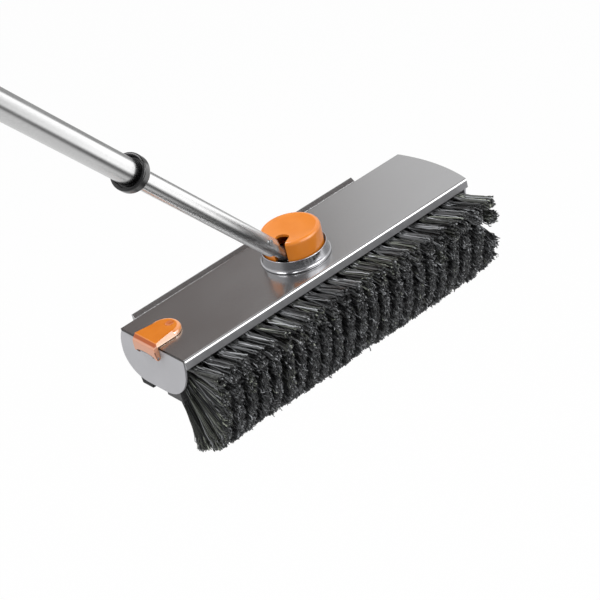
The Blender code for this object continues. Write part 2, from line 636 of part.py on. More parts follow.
def make_latch(paint, parent):
    """The clip is drawn about its pin: a tongue on the sheet, a face over the end and two knuckles."""
    inner = LATCH_INNER_X - PIN_X
    outer = LATCH_OUTER_X - PIN_X
    under = CLEAR - PIN_Z
    top = under + LATCH_TOP
    tip = PLATE_LEFT + LATCH_REACH - PIN_X
    leave_deg = math.degrees(math.acos(outer / KNUCKLE_RADIUS))
    outline = [(tip, top), (tip, under), (inner, under)]
    outline += arc((0, 0), KNUCKLE_RADIUS, 0, leave_deg - 360, 14)
    outline += arc((outer + LATCH_CORNER, top - LATCH_CORNER), LATCH_CORNER, 180, 90, 5)
    half = LATCH_WIDTH / 2
    latch = solid("end_latch", prism(outline, "Y", -half, half), paint, parent)
    plan = [(-half, -half - OVERRUN), (tip - half, -half)]
    plan += arc((tip - half, 0), half, -90, 90, 16)[1:-1]
    plan += [(tip - half, half), (-half, half + OVERRUN)]
    plan = prism(plan, "Z", -half, half + OVERRUN)
    combine(latch, solid("latch_plan", plan, None, parent), "INTERSECT")
    wide = LUG_WIDTH / 2 + ARCH_CLEAR
    foot = KNUCKLE_RADIUS + ARCH_CLEAR
    arch = [(wide, -foot - OVERRUN), (wide, foot)]
    arch += [(wide * math.cos(math.pi * step / 10), foot + ARCH_RISE * math.sin(math.pi * step / 10))
             for step in range(1, 10)]
    arch += [(-wide, foot), (-wide, -foot - OVERRUN)]
    arch = prism(arch, "X", -half, inner + CLEAR)
    combine(latch, solid("latch_arch", arch, None, parent), "DIFFERENCE")
    bore = rod("Y", (0, 0), LATCH_PIN_RADIUS + CLEAR, -half - OVERRUN, half + OVERRUN, SCREW_STEPS)
    combine(latch, solid("latch_bore", bore, None, parent), "DIFFERENCE")
    ball = (DIMPLE_RADIUS * DIMPLE_RADIUS + DIMPLE_DEPTH * DIMPLE_DEPTH) / (2 * DIMPLE_DEPTH)
    rise = arc((0, top - DIMPLE_DEPTH + ball), ball, -90, 0, 24)
    dimple = turned(rise + [(0, top - DIMPLE_DEPTH + ball)], False, SMALL_STEPS)
    at = (PLATE_LEFT + DIMPLE_REACH - PIN_X, 0, 0)
    combine(latch, solid("latch_dimple", dimple, None, parent, at), "DIFFERENCE")


# Swivel, drawn with its clevis towards +X of the swivel's own axis

def make_swivel_base(paint, parent):
    groove = STEM_RADIUS - GROOVE_DEPTH
    profile = [(0, STEM_BOTTOM), (STEM_RADIUS, STEM_BOTTOM), (STEM_RADIUS, CIRCLIP_BOTTOM - CLEAR),
               (groove, CIRCLIP_BOTTOM - CLEAR), (groove, CIRCLIP_TOP + CLEAR), (STEM_RADIUS, CIRCLIP_TOP + CLEAR),
               (STEM_RADIUS, FLANGE_BOTTOM), (SWIVEL_FLANGE_RADIUS, FLANGE_BOTTOM),
               (SWIVEL_FLANGE_RADIUS, FLANGE_TOP), (0, FLANGE_TOP)]
    base = solid("swivel_base", turned(profile, False), paint, parent)
    foot = FLANGE_BOTTOM + CLEAR
    cheek = [(PIVOT_OUT - CHEEK_RADIUS, foot), (PIVOT_OUT + CHEEK_RADIUS, foot)]
    cheek += arc((PIVOT_OUT, PIVOT_UP), CHEEK_RADIUS, 0, 180, 12)
    for name, near, far in (("left_cheek", CHEEK_INNER, CHEEK_OUTER), ("right_cheek", -CHEEK_OUTER, -CHEEK_INNER)):
        combine(base, solid(name, prism(cheek, "Y", near, far), None, parent), "UNION")
    bore = rod("Y", (PIVOT_OUT, PIVOT_UP), TILT_PIN_RADIUS + CLEAR, -CHEEK_OUTER - OVERRUN, CHEEK_OUTER + OVERRUN)
    combine(base, solid("cheek_bore", bore, None, parent), "DIFFERENCE")


def make_swivel_fittings(steel, plastic, parent):
    half = CHEEK_OUTER - CLEAR
    solid("tilt_pin", rod("Y", (PIVOT_OUT, PIVOT_UP), TILT_PIN_RADIUS, -half, half), steel, parent)
    bore = STEM_RADIUS + CLEAR
    washer = [(bore, WASHER_BOTTOM), (WASHER_RADIUS, WASHER_BOTTOM), (WASHER_RADIUS, WASHER_BOTTOM + WASHER),
              (bore, WASHER_BOTTOM + WASHER)]
    solid("thrust_washer", turned(washer), plastic, parent)
    bore = STEM_RADIUS - GROOVE_DEPTH + CLEAR
    clip = [(bore, CIRCLIP_BOTTOM), (CIRCLIP_RADIUS, CIRCLIP_BOTTOM), (CIRCLIP_RADIUS, CIRCLIP_TOP),
            (bore, CIRCLIP_TOP)]
    clip = solid("retaining_ring", turned(clip), steel, parent)
    half = CIRCLIP_MOUTH / 2
    mouth = box((0, -half, CIRCLIP_BOTTOM - OVERRUN), (CIRCLIP_RADIUS + OVERRUN, half, CIRCLIP_TOP + OVERRUN))
    combine(clip, solid("retaining_ring_mouth", mouth, None, parent), "DIFFERENCE")


def make_knob(paint, parent):
    inside = KNOB_RADIUS - KNOB_WALL
    seat = SWIVEL_FLANGE_RADIUS + CLEAR
    skirt_top = KNOB_BOTTOM + KNOB_SKIRT
    roof = KNOB_TOP - KNOB_ROOF
    profile = [(0, roof), (inside, roof), (inside, skirt_top), (seat, skirt_top), (seat, KNOB_BOTTOM),
               (KNOB_RADIUS, KNOB_BOTTOM)]
    profile += arc((KNOB_RADIUS - KNOB_ROUND, KNOB_TOP - KNOB_ROUND), KNOB_ROUND, 0, 90, 6)
    profile += [(0, KNOB_TOP)]
    knob = solid("hub_knob", turned(profile, False, FINE_STEPS), paint, parent)
    near = CHEEK_OUTER + CLEAR
    room = box((0, -near, KNOB_BOTTOM - OVERRUN),
               (PIVOT_OUT + CHEEK_RADIUS + CLEAR, near, PIVOT_UP + CHEEK_RADIUS + CLEAR))
    combine(knob, solid("knob_clevis_room", room, None, parent), "DIFFERENCE")
    wide = NECK_RADIUS + 2 * CLEAR
    slot = box((PIVOT_OUT - wide, -wide, KNOB_BOTTOM - OVERRUN), (KNOB_RADIUS + OVERRUN, wide, KNOB_TOP + OVERRUN))
    combine(knob, solid("knob_slot", slot, None, parent), "DIFFERENCE")


# Pole, drawn about the tilt pin with the pole's own axis as Z

def tube(name, inner, outer, start, end, paint, parent):
    return solid(name, turned([(inner, start), (outer, start), (outer, end), (inner, end)]), paint, parent)


def make_stem(steel, tube_paint, plastic, parent):
    top = SHOULDER_END + SPIGOT_LENGTH
    profile = [(0, NECK_START), (NECK_RADIUS, NECK_START), (NECK_RADIUS, NECK_END),
               (INNER_RADIUS, (NECK_END + SHOULDER_END) / 2), (INNER_RADIUS, SHOULDER_END),
               (SPIGOT_RADIUS, SHOULDER_END), (SPIGOT_RADIUS, top), (0, top)]
    knuckle = solid("stem_knuckle", turned(profile, False, SMALL_STEPS), steel, parent)
    eye = rod("Y", (0, 0), EYE_RADIUS, -EYE_WIDTH / 2, EYE_WIDTH / 2)
    combine(knuckle, solid("knuckle_eye", eye, None, parent), "UNION")
    bore = rod("Y", (0, 0), TILT_PIN_RADIUS + CLEAR, -EYE_WIDTH, EYE_WIDTH)
    combine(knuckle, solid("knuckle_bore", bore, None, parent), "DIFFERENCE")
    inner = tube("inner_tube", INNER_RADIUS - INNER_WALL, INNER_RADIUS, INNER_START, INNER_END, tube_paint, parent)
    rivet_z = SHOULDER_END + RIVET_AT
    for target in (knuckle, inner):
        drill = rod("Y", (0, rivet_z), RIVET_RADIUS + CLEAR, -INNER_RADIUS - OVERRUN, INNER_RADIUS + OVERRUN, SCREW_STEPS)
        combine(target, solid(f"{target.name}_rivet_hole", drill, None, parent), "DIFFERENCE")
    seat = INNER_RADIUS + CLEAR
    half = [(0, 0), (RIVET_RADIUS, 0), (RIVET_RADIUS, seat), (RIVET_HEAD_RADIUS, seat),
            (RIVET_HEAD_RADIUS - RIVET_HEAD / 2, seat + RIVET_HEAD), (0, seat + RIVET_HEAD)]
    profile = [(radius, -height) for radius, height in half[:1:-1]] + half[2:]
    rivet = solid("stem_rivet", turned(profile, False, SCREW_STEPS), steel, parent, (0, 0, rivet_z))
    rivet.rotation_euler = (math.pi / 2, 0, 0)
    make_lock(plastic, parent)


def make_lock(paint, parent):
    """The expander in the inner tube's far end, with an eccentric cam on its spigot."""
    seat = INNER_END + CLEAR
    head = seat + LOCK_PLUG_HEAD
    spigot = head + LOCK_CAM_LENGTH + 2 * CLEAR
    plug_radius = INNER_RADIUS - INNER_WALL - CLEAR
    head_radius = OUTER_BORE - 2 * CLEAR
    profile = [(0, INNER_END - LOCK_PLUG_LENGTH), (plug_radius, INNER_END - LOCK_PLUG_LENGTH), (plug_radius, seat),
               (head_radius, seat), (head_radius, head), (LOCK_SPIGOT_RADIUS, head),
               (LOCK_SPIGOT_RADIUS, spigot), (0, spigot)]
    solid("lock_plug", turned(profile, False, SMALL_STEPS), paint, parent)
    cam = rod("Z", (LOCK_CAM_OFFSET, 0), LOCK_CAM_RADIUS, head + CLEAR, head + CLEAR + LOCK_CAM_LENGTH)
    cam = solid("lock_cam", cam, paint, parent)
    bore = rod("Z", (0, 0), LOCK_SPIGOT_RADIUS + CLEAR, head - OVERRUN, spigot + OVERRUN)
    combine(cam, solid("lock_cam_bore", bore, None, parent), "DIFFERENCE")


def make_pole(tube_paint, dark, grip_paint, parent):
    tube("outer_tube", OUTER_BORE, OUTER_RADIUS, OUTER_START, OUTER_END, tube_paint, parent)
    start = OUTER_START + GUIDE_BUSH_INSET
    tube("tube_bush", INNER_RADIUS + CLEAR, OUTER_BORE - CLEAR, start, start + GUIDE_BUSH_LENGTH, dark, parent)
    make_grip(grip_paint, parent)
    cap_start = OUTER_END + CLEAR
    cap_end = cap_start + CAP_LENGTH
    plug = OUTER_BORE - CLEAR
    profile = [(0, OUTER_END - CAP_PLUG), (plug, OUTER_END - CAP_PLUG), (plug, cap_start), (CAP_RADIUS, cap_start)]
    profile += [(CAP_RADIUS * math.cos(turn), cap_start + (cap_end - cap_start) * math.sin(turn))
                for turn in (math.radians(degrees) for degrees in range(15, 90, 15))]
    profile += [(0, cap_end)]
    solid("end_cap", turned(profile, False, SMALL_STEPS), dark, parent)


def make_grip(paint, parent):
    bore = OUTER_RADIUS + CLEAR
    end = OUTER_END - CLEAR
    start = end - GRIP_LENGTH
    pitch = GRIP_LENGTH / (GRIP_RIBS + 1)
    profile = [(bore, start), (GRIP_RADIUS - GRIP_GROOVE, start)]
    for rib in range(GRIP_RIBS):
        low = start + pitch * (rib + 1 / 2)
        profile += [(GRIP_RADIUS - GRIP_GROOVE, low), (GRIP_RADIUS, low + pitch / 4),
                    (GRIP_RADIUS, low + 3 * pitch / 4)]
    profile += [(GRIP_RADIUS - GRIP_GROOVE, end - pitch / 2), (GRIP_RADIUS - GRIP_GROOVE, end), (bore, end)]
    solid("grip", turned(profile, True, SMALL_STEPS), paint, parent)


def make_collar(paint, parent):
    """The twist collar over the outer tube's lower end, drawn about its own start."""
    end = COLLAR_LENGTH
    seat = OUTER_RADIUS + CLEAR
    lip = INNER_RADIUS + RUNNING_GAP
    mouth = end - COLLAR_MOUTH_DEPTH
    profile = [(lip, 0)]
    profile += arc((COLLAR_RADIUS - COLLAR_ROUND, COLLAR_ROUND), COLLAR_ROUND, -90, 0, 5)
    profile += arc((COLLAR_RADIUS - COLLAR_ROUND / 2, end - COLLAR_ROUND / 2), COLLAR_ROUND / 2, 0, 90, 4)
    profile += [(COLLAR_MOUTH_RADIUS, end), (COLLAR_MOUTH_RADIUS - RUNNING_GAP, mouth), (seat, mouth),
                (seat, COLLAR_END_WALL), (lip, COLLAR_END_WALL)]
    solid("lock_collar", turned(profile), paint, parent)


def main():
    clear_scene()
    steel = material("brushed_steel", (0.42, 0.42, 0.43), 0.32, 1.0)
    plate = material("end_plate_grey", (0.43, 0.43, 0.45), 0.45, 0.3)
    chrome = material("chrome", (0.62, 0.62, 0.63), 0.10, 1.0)
    pin_steel = material("pin_steel", (0.35, 0.35, 0.36), 0.35, 1.0)
    orange = material("orange_plastic", (0.79, 0.24, 0.03), 0.30, 0.0)
    block = material("block_grey", (0.22, 0.22, 0.23), 0.50, 0.0)
    bristle = material("bristle_charcoal", (0.035, 0.037, 0.036), 0.55, 0.0)
    pad = material("pad_black", (0.02, 0.02, 0.02), 0.90, 0.0)
    bearing = material("bearing_grey", (0.30, 0.30, 0.30), 0.40, 0.0)
    tube_steel = material("tube_steel", (0.50, 0.50, 0.50), 0.30, 1.0)
    black = material("collar_black", (0.015, 0.015, 0.015), 0.35, 0.0)
    grip = material("grip_rubber", (0.03, 0.03, 0.03), 0.80, 0.0)

    head = axis_empty("head", (0, 0, 0))
    make_cover(steel, head)
    make_right_end_plate(plate, head)
    make_rear_rail(steel, head)
    make_slide_rail("slide_rail_front", RAIL_FRONT_Y, steel, head)
    make_slide_rail("slide_rail_rear", RAIL_REAR_Y, steel, head)
    make_hub_ring(chrome, head)
    make_hub_bush(bearing, head)
    make_hub_screws(pin_steel, head)

    cartridge = axis_empty("cartridge_slide", (0, 0, 0), parent=head)
    make_left_end_plate(plate, cartridge)
    make_block(block, cartridge)
    make_rows(bristle, cartridge)
    make_rear_pad(pad, cartridge)
    make_latch_pin(pin_steel, cartridge)
    latch = axis_empty("latch_hinge", (PIN_X, LATCH_Y, PIN_Z), parent=cartridge)
    make_latch(orange, latch)

    swivel = axis_empty("swivel_axis", (0, 0, 0), (0, 0, math.radians(POLE_AZIMUTH_DEG)), head)
    make_swivel_base(pin_steel, swivel)
    make_swivel_fittings(pin_steel, bearing, swivel)
    make_knob(orange, swivel)

    lean = math.radians(90 - POLE_ELEVATION_DEG)
    stem = axis_empty("tilt_axis", (PIVOT_OUT, 0, PIVOT_UP), (0, lean, 0), swivel)
    make_stem(pin_steel, tube_steel, bearing, stem)
    pole = axis_empty("pole_slide", (0, 0, 0), parent=stem)
    make_pole(tube_steel, black, grip, pole)
    collar = axis_empty("collar_twist", (0, 0, COLLAR_START), parent=pole)
    make_collar(black, collar)


main()
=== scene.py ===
# Floor scrub brush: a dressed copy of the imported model, with finishes, bristles, floor and light.
import math

import bpy
import numpy as np
from mathutils import Matrix, Vector


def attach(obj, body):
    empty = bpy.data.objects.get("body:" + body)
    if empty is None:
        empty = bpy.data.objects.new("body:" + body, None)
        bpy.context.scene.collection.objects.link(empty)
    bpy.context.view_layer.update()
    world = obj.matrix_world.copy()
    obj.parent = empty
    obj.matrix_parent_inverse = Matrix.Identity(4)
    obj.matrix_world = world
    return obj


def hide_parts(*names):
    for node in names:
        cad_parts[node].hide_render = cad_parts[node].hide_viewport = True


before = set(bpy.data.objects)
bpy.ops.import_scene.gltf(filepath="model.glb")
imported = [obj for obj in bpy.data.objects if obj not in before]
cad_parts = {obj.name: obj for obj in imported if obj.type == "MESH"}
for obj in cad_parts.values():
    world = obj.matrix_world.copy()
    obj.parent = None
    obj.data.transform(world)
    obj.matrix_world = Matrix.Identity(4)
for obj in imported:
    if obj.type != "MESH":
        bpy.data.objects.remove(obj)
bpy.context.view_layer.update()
scene = bpy.context.scene
print("frame loaded")


# Small workshop helpers

def editMode():
    bpy.ops.object.mode_set(mode="EDIT")


def objectMode():
    bpy.ops.object.mode_set(mode="OBJECT")


def deselectAll():
    if bpy.context.object and bpy.context.object.mode != "OBJECT":
        objectMode()
    bpy.ops.object.select_all(action="DESELECT")


def applyPlace():
    bpy.ops.object.transform_apply(location=True, rotation=True, scale=True)


def turnOutwards():
    bpy.ops.mesh.select_all(action="SELECT")
    bpy.ops.mesh.normals_make_consistent(inside=False)
    objectMode()


def named(name):
    piece = bpy.context.object
    piece.name = piece.data.name = name
    return piece


def only(piece):
    deselectAll()
    piece.select_set(True)
    bpy.context.view_layer.objects.active = piece


def pick(piece, test, kind="VERT"):
    # selects the points, edges or faces whose middle passes the test, and stays in edit mode
    objectMode()
    mesh = piece.data
    for item in list(mesh.vertices) + list(mesh.edges) + list(mesh.polygons):
        item.select = False
    if kind == "VERT":
        for point in mesh.vertices:
            point.select = test(point.co)
    elif kind == "EDGE":
        for edge in mesh.edges:
            ends = [mesh.vertices[index] for index in edge.vertices]
            edge.select = all(test(end.co) for end in ends)
            for end in ends:
                end.select = end.select or edge.select
    else:
        for face in mesh.polygons:
            face.select = test(face.center)
    bpy.context.tool_settings.mesh_select_mode = (kind == "VERT", kind == "EDGE", kind == "FACE")
    editMode()


def mergeDoubles():
    bpy.ops.mesh.select_all(action="SELECT")
    bpy.ops.mesh.remove_doubles(threshold=0.000005)


def paintWith(piece, finish):
    piece.data.materials.clear()
    piece.data.materials.append(finish)


def applyModifier(piece, name):
    only(piece)
    bpy.ops.object.modifier_apply(modifier=name)


def finishMesh(piece, angle, finish, body, nodeName, place=None):
    # closes seams, turns the faces outwards, puts the place into the mesh, shades, paints and files the piece
    editMode()
    mergeDoubles()
    turnOutwards()
    only(piece)
    if place:
        piece.matrix_world = place
    applyPlace()
    bpy.ops.object.shade_smooth_by_angle(angle=math.radians(angle))
    even = piece.modifiers.new("even", "WEIGHTED_NORMAL")
    even.keep_sharp = True
    applyModifier(piece, "even")
    paintWith(piece, finish)
    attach(piece, body)
    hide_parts(nodeName)


def soften(piece, width, segments, angle):
    # a small worn edge all round
    edge = piece.modifiers.new("soften", "BEVEL")
    edge.width = width
    edge.segments = segments
    edge.limit_method = "ANGLE"
    edge.angle_limit = math.radians(angle)
    applyModifier(piece, "soften")


def thicken(piece, thickness, offset):
    wall = piece.modifiers.new("wall", "SOLIDIFY")
    wall.thickness = thickness
    wall.offset = offset
    applyModifier(piece, "wall")


def cutWith(piece, tool, operation="DIFFERENCE"):
    step = piece.modifiers.new("cut", "BOOLEAN")
    step.operation = operation
    step.solver = "EXACT"
    step.object = tool
    applyModifier(piece, "cut")
    bpy.data.objects.remove(tool, do_unlink=True)


def pickOpenEdges():
    bpy.ops.mesh.select_all(action="DESELECT")
    bpy.ops.mesh.select_mode(type="EDGE")
    bpy.ops.mesh.select_non_manifold()


def turnUp(name, rings, steps, closed=True):
    # a circle drawn up ring by ring, each one (radius, height); a radius of 0 closes on the axis
    deselectAll()
    onAxis = rings[0][0] == 0
    rings = rings[onAxis:]
    radius, height = rings[0]
    bpy.ops.mesh.primitive_circle_add(vertices=steps, radius=radius)
    piece = named(name)
    editMode()
    bpy.ops.transform.translate(value=(0, 0, height))
    if onAxis:
        bpy.ops.mesh.edge_face_add()
        pick(piece, lambda point: True)
    for nextRadius, nextHeight in rings[1:]:
        if nextRadius == 0:
            bpy.ops.mesh.edge_face_add()
            break
        bpy.ops.mesh.extrude_edges_move()
        bpy.ops.transform.translate(value=(0, 0, nextHeight - height))
        scale = nextRadius / radius
        if abs(scale - 1) > 1e-9:
            bpy.ops.transform.resize(value=(scale, scale, 1), center_override=(0, 0, 0))
        radius, height = nextRadius, nextHeight
    if closed:
        pickOpenEdges()
        bpy.ops.mesh.bridge_edge_loops()
    objectMode()
    return piece


def roundOver(centre, radius, startDeg, endDeg, steps):
    # (radius, height) points of a rounded edge
    turns = [math.radians(startDeg + (endDeg - startDeg) * step / steps) for step in range(steps + 1)]
    return [(centre[0] + radius * math.cos(turn), centre[1] + radius * math.sin(turn)) for turn in turns]


# Camera, at the angle of the photograph

cameraSet = {
    "place": (-0.75719, -1.14195, 0.80480),
    "right": (0.73965, -0.63993, -0.20835),
    "down": (-0.48450, -0.29145, -0.82481),
    "forward": (0.46710, 0.71102, -0.52562),
    "lens": 120,
}


def setCamera():
    bpy.ops.object.camera_add(location=cameraSet["place"])
    camera = bpy.context.object
    camera.name = "viewCamera"
    right = Vector(cameraSet["right"])
    up = -Vector(cameraSet["down"])
    back = -Vector(cameraSet["forward"])
    camera.rotation_euler = Matrix((right, up, back)).transposed().to_euler()
    camera.data.lens = cameraSet["lens"]
    camera.data.sensor_width = 36
    camera.data.clip_start = 0.05
    camera.data.clip_end = 60
    scene.camera = camera


setCamera()
print("camera set")


# Floor, sky and lamps

stageSet = {
    "floorDrop": -0.62,
    "floorSize": 30,
    "floorColour": (0.86, 0.86, 0.86),
    "floorWhite": 0.93,                       # share of plain white that the camera sees
    "floorShine": (0.92, 0.92, 0.92),         # what polished surfaces see of it
    "skyLevel": 0.78,                         # what matt surfaces receive
    "skyWhite": 1.0,                          # what the camera sees
}

# what polished surfaces see of the sky: direction, angles of the full patch and of its faded edge, light
skyPatches = (
    ((-0.47, -0.82, 0.33), 42, 66, (0.30, 0.30, 0.31)),
    ((0.282, 0.809, 0.515), 12.0, 16.0, (0.085, 0.050, 0.038)),
    ((0.457, -0.787, 0.414), 29, 40, (3.2, 3.2, 3.2)),
    ((0.405, -0.105, 0.905), 12, 20, (0.06, 0.04, 0.035)),
)

# and of the floor: middle, half size, softness of the edge, light
floorPatches = (
    ((0.0, -2.8), (9.0, 2.05), 0.14, 0.42),
    ((0.26, -0.25), (0.14, 0.42), 0.11, 0.12),
    ((6.53, 3.6), (6.0, 4.15), 0.12, 2.0),
    ((6.9, 6.0), (5.8, 5.0), 0.45, 0.40),
)


def emptyTree(owner):
    owner.use_nodes = True
    owner.node_tree.nodes.clear()
    return owner.node_tree


def feed(tree, node, *values):
    # each value is another node's output, or a number or colour for the socket itself
    for slot, value in zip(node.inputs, values):
        if isinstance(value, bpy.types.NodeSocket):
            tree.links.new(value, slot)
        else:
            slot.default_value = value
    return node.outputs[0]


def faded(tree, source, start, end):
    # 1 up to the start, then smoothly down to 0 at the end
    step = tree.nodes.new("ShaderNodeMapRange")
    step.interpolation_type = "SMOOTHSTEP"
    return feed(tree, step, source, start, end, 1, 0)


def reckoned(tree, operation, first, second=0.0):
    step = tree.nodes.new("ShaderNodeMath")
    step.operation = operation
    return feed(tree, step, first, second)


def mixed(tree, share, first, second):
    return feed(tree, tree.nodes.new("ShaderNodeMixShader"), share, first, second)


def glowing(tree, kind, light):
    lamp = tree.nodes.new(kind)
    lamp.inputs["Color"].default_value = (*light, 1)
    return lamp.outputs[0]


def setFloor():
    s = stageSet
    deselectAll()
    bpy.ops.mesh.primitive_plane_add(size=s["floorSize"], location=(0, 0, s["floorDrop"]))
    floor = named("paleFloor")
    paint = bpy.data.materials.new("paleFloor")
    tree = emptyTree(paint)
    out = tree.nodes.new("ShaderNodeOutputMaterial")
    rays = tree.nodes.new("ShaderNodeLightPath")
    side = tree.nodes.new("ShaderNodeNewGeometry")
    place = tree.nodes.new("ShaderNodeSeparateXYZ")
    tree.links.new(side.outputs["Position"], place.inputs[0])
    matt = glowing(tree, "ShaderNodeBsdfDiffuse", s["floorColour"])
    plain = glowing(tree, "ShaderNodeEmission", (1, 1, 1))
    share = reckoned(tree, "MULTIPLY", rays.outputs["Is Camera Ray"], s["floorWhite"])
    seen = mixed(tree, share, matt, plain)
    shine = glowing(tree, "ShaderNodeEmission", s["floorShine"])
    for middle, half, soft, light in floorPatches:
        cover = []
        for axis in (0, 1):
            away = reckoned(tree, "ABSOLUTE", reckoned(tree, "SUBTRACT", place.outputs[axis], middle[axis]))
            cover.append(faded(tree, away, half[axis] - soft, half[axis] + soft))
        patch = reckoned(tree, "MULTIPLY", *cover)
        shine = mixed(tree, patch, shine, glowing(tree, "ShaderNodeEmission", [light] * 3))
    mirrored = mixed(tree, rays.outputs["Is Glossy Ray"], seen, shine)
    clear = tree.nodes.new("ShaderNodeBsdfTransparent").outputs[0]
    tree.links.new(mixed(tree, side.outputs["Backfacing"], mirrored, clear), out.inputs[0])
    floor.data.materials.append(paint)


def setSky():
    s = stageSet
    world = bpy.data.worlds.new("studioSky")
    scene.world = world
    tree = emptyTree(world)
    out = tree.nodes.new("ShaderNodeOutputWorld")
    rays = tree.nodes.new("ShaderNodeLightPath")
    place = tree.nodes.new("ShaderNodeTexCoord")
    soft = glowing(tree, "ShaderNodeBackground", [s["skyLevel"]] * 3)
    white = glowing(tree, "ShaderNodeBackground", [s["skyWhite"]] * 3)
    shiny = glowing(tree, "ShaderNodeBackground", (1, 1, 1))
    for direction, full, fade, light in skyPatches:
        dot = tree.nodes.new("ShaderNodeVectorMath")
        dot.operation = "DOT_PRODUCT"
        dot.inputs[1].default_value = Vector(direction).normalized()
        tree.links.new(place.outputs["Generated"], dot.inputs[0])
        away = reckoned(tree, "ARCCOSINE", dot.outputs["Value"])
        patch = faded(tree, away, math.radians(full), math.radians(fade))
        shiny = mixed(tree, patch, shiny, glowing(tree, "ShaderNodeBackground", light))
    polished = reckoned(tree, "MAXIMUM", rays.outputs["Is Glossy Ray"], rays.outputs["Is Transmission Ray"])
    mirror = mixed(tree, polished, soft, shiny)
    tree.links.new(mixed(tree, rays.outputs["Is Camera Ray"], mirror, white), out.inputs[0])


lampSet = {
    "above": {"towards": (-0.25, 0.25, 1.0), "distance": 2.2, "size": 1.2, "power": 22},
    "front": {"towards": (0.467, -0.75, 0.45), "distance": 2.0, "size": 0.7, "power": 8},
}


def setLamps():
    for name, lamp in lampSet.items():
        towards = Vector(lamp["towards"]).normalized()
        bpy.ops.object.light_add(type="AREA", location=towards * lamp["distance"])
        light = bpy.context.object
        light.name = f"{name}Lamp"
        light.data.shape = "DISK"
        light.data.size = lamp["size"]
        light.data.energy = lamp["power"]
        light.rotation_euler = towards.to_track_quat("Z", "Y").to_euler()


setFloor()
setSky()
setLamps()
scene.view_settings.view_transform = "Standard"
print("stage set")


# Finishes

poleTowards = Vector((-0.621186, -0.316510, 0.716911))


def newFinish(name, colour, roughness, metallic=0.0):
    paint = bpy.data.materials.new(name)
    paint.use_nodes = True
    paint.diffuse_color = (*colour, 1)
    sockets = paint.node_tree.nodes["Principled BSDF"].inputs
    for socket, value in (("Base Color", (*colour, 1)), ("Roughness", roughness), ("Metallic", metallic)):
        sockets[socket].default_value = value
    return paint, sockets


def addNode(paint, kind, **settings):
    node = paint.node_tree.nodes.new(kind)
    for name, value in settings.items():
        setattr(node, name, value)
    return node


def wire(paint, start, end):
    paint.node_tree.links.new(start, end)


def grain(paint, stretch, detail, turn=(0, 0, 0)):
    # a noise stretched along the directions of the given scales
    place = addNode(paint, "ShaderNodeTexCoord")
    mapped = addNode(paint, "ShaderNodeMapping")
    mapped.inputs["Rotation"].default_value = turn
    mapped.inputs["Scale"].default_value = stretch
    noise = addNode(paint, "ShaderNodeTexNoise")
    noise.inputs["Scale"].default_value = 1
    noise.inputs["Detail"].default_value = detail
    wire(paint, place.outputs["Object"], mapped.inputs["Vector"])
    wire(paint, mapped.outputs[0], noise.inputs["Vector"])
    return noise.outputs["Fac"]


def spread(paint, source, low, high, fromLow=0.3, fromHigh=0.7):
    span = addNode(paint, "ShaderNodeMapRange")
    return feed(paint.node_tree, span, source, fromLow, fromHigh, low, high)


def tint(paint, source, dark, light):
    ramp = addNode(paint, "ShaderNodeValToRGB")
    for stop, position, colour in zip(ramp.color_ramp.elements, (0.3, 0.7), (dark, light)):
        stop.position, stop.color = position, (*colour, 1)
    wire(paint, source, ramp.inputs[0])
    return ramp.outputs[0]


def bump(paint, source, distance, strength):
    relief = addNode(paint, "ShaderNodeBump")
    relief.inputs["Distance"].default_value = distance
    relief.inputs["Strength"].default_value = strength
    wire(paint, source, relief.inputs["Height"])
    return relief.outputs[0]


def times(paint, first, second):
    return reckoned(paint.node_tree, "MULTIPLY", first, second)


def dressed(paint, sockets, colour=None, roughness=None, relief=None):
    # wires what varies over the surface to the shader
    for name, source in (("Base Color", colour), ("Roughness", roughness), ("Normal", relief)):
        if source:
            wire(paint, source, sockets[name])
    return paint


def edgeMask(paint, axis, start, end):
    # 0 before the start and 1 after the end, along one of the object's own axes
    place = addNode(paint, "ShaderNodeTexCoord")
    parts = addNode(paint, "ShaderNodeSeparateXYZ")
    wire(paint, place.outputs["Object"], parts.inputs[0])
    return spread(paint, parts.outputs[axis], 0, 1, start, end)


def overlay(paint, mask, under, over):
    # the mask lays one colour over another
    return feed(paint.node_tree, addNode(paint, "ShaderNodeMixRGB"), mask, under, (*over, 1))


def banded(paint, colour, places, name):
    return overlay(paint, edgeMask(paint, *places[name]), colour, places[name + "Colour"])


# bands painted on the sheet: painted shade along the cut edge, and painted light on the folded lip; axis, where each
# starts and where it is full
sheetPaint = {
    "cutEdge": (0, -0.1456, -0.1458), "cutEdgeColour": (0.03, 0.027, 0.025),
    "lip": (2, -0.0012, -0.0021), "lipColour": (0.30, 0.30, 0.31), "lipMetal": 0.15,
}


def satinSteel(name, edge=False):
    # rolled sheet: faint streaks along the head under a smooth haze
    paint, sockets = newFinish(name, (0.43, 0.43, 0.435), 0.2, 0.9)
    streak = grain(paint, (9, 2300, 2300), 2)
    haze = grain(paint, (14, 22, 22), 4)
    colour = tint(paint, streak, (0.424, 0.424, 0.428), (0.440, 0.440, 0.445))
    if edge:
        # the cut edge is painted dark, as painted shade in the gap there, and the folded lip is painted a matt grey
        # with little metal, as painted light in place of what the steel lip reflects
        colour = banded(paint, colour, sheetPaint, "cutEdge")
        paintedLipMask = edgeMask(paint, *sheetPaint["lip"])
        colour = overlay(paint, paintedLipMask, colour, sheetPaint["lipColour"])
        wire(paint, spread(paint, paintedLipMask, 0.9, sheetPaint["lipMetal"], 0, 1), sockets["Metallic"])
    return dressed(paint, sockets, colour, spread(paint, haze, 0.205, 0.23), bump(paint, streak, 0.000004, 0.10))


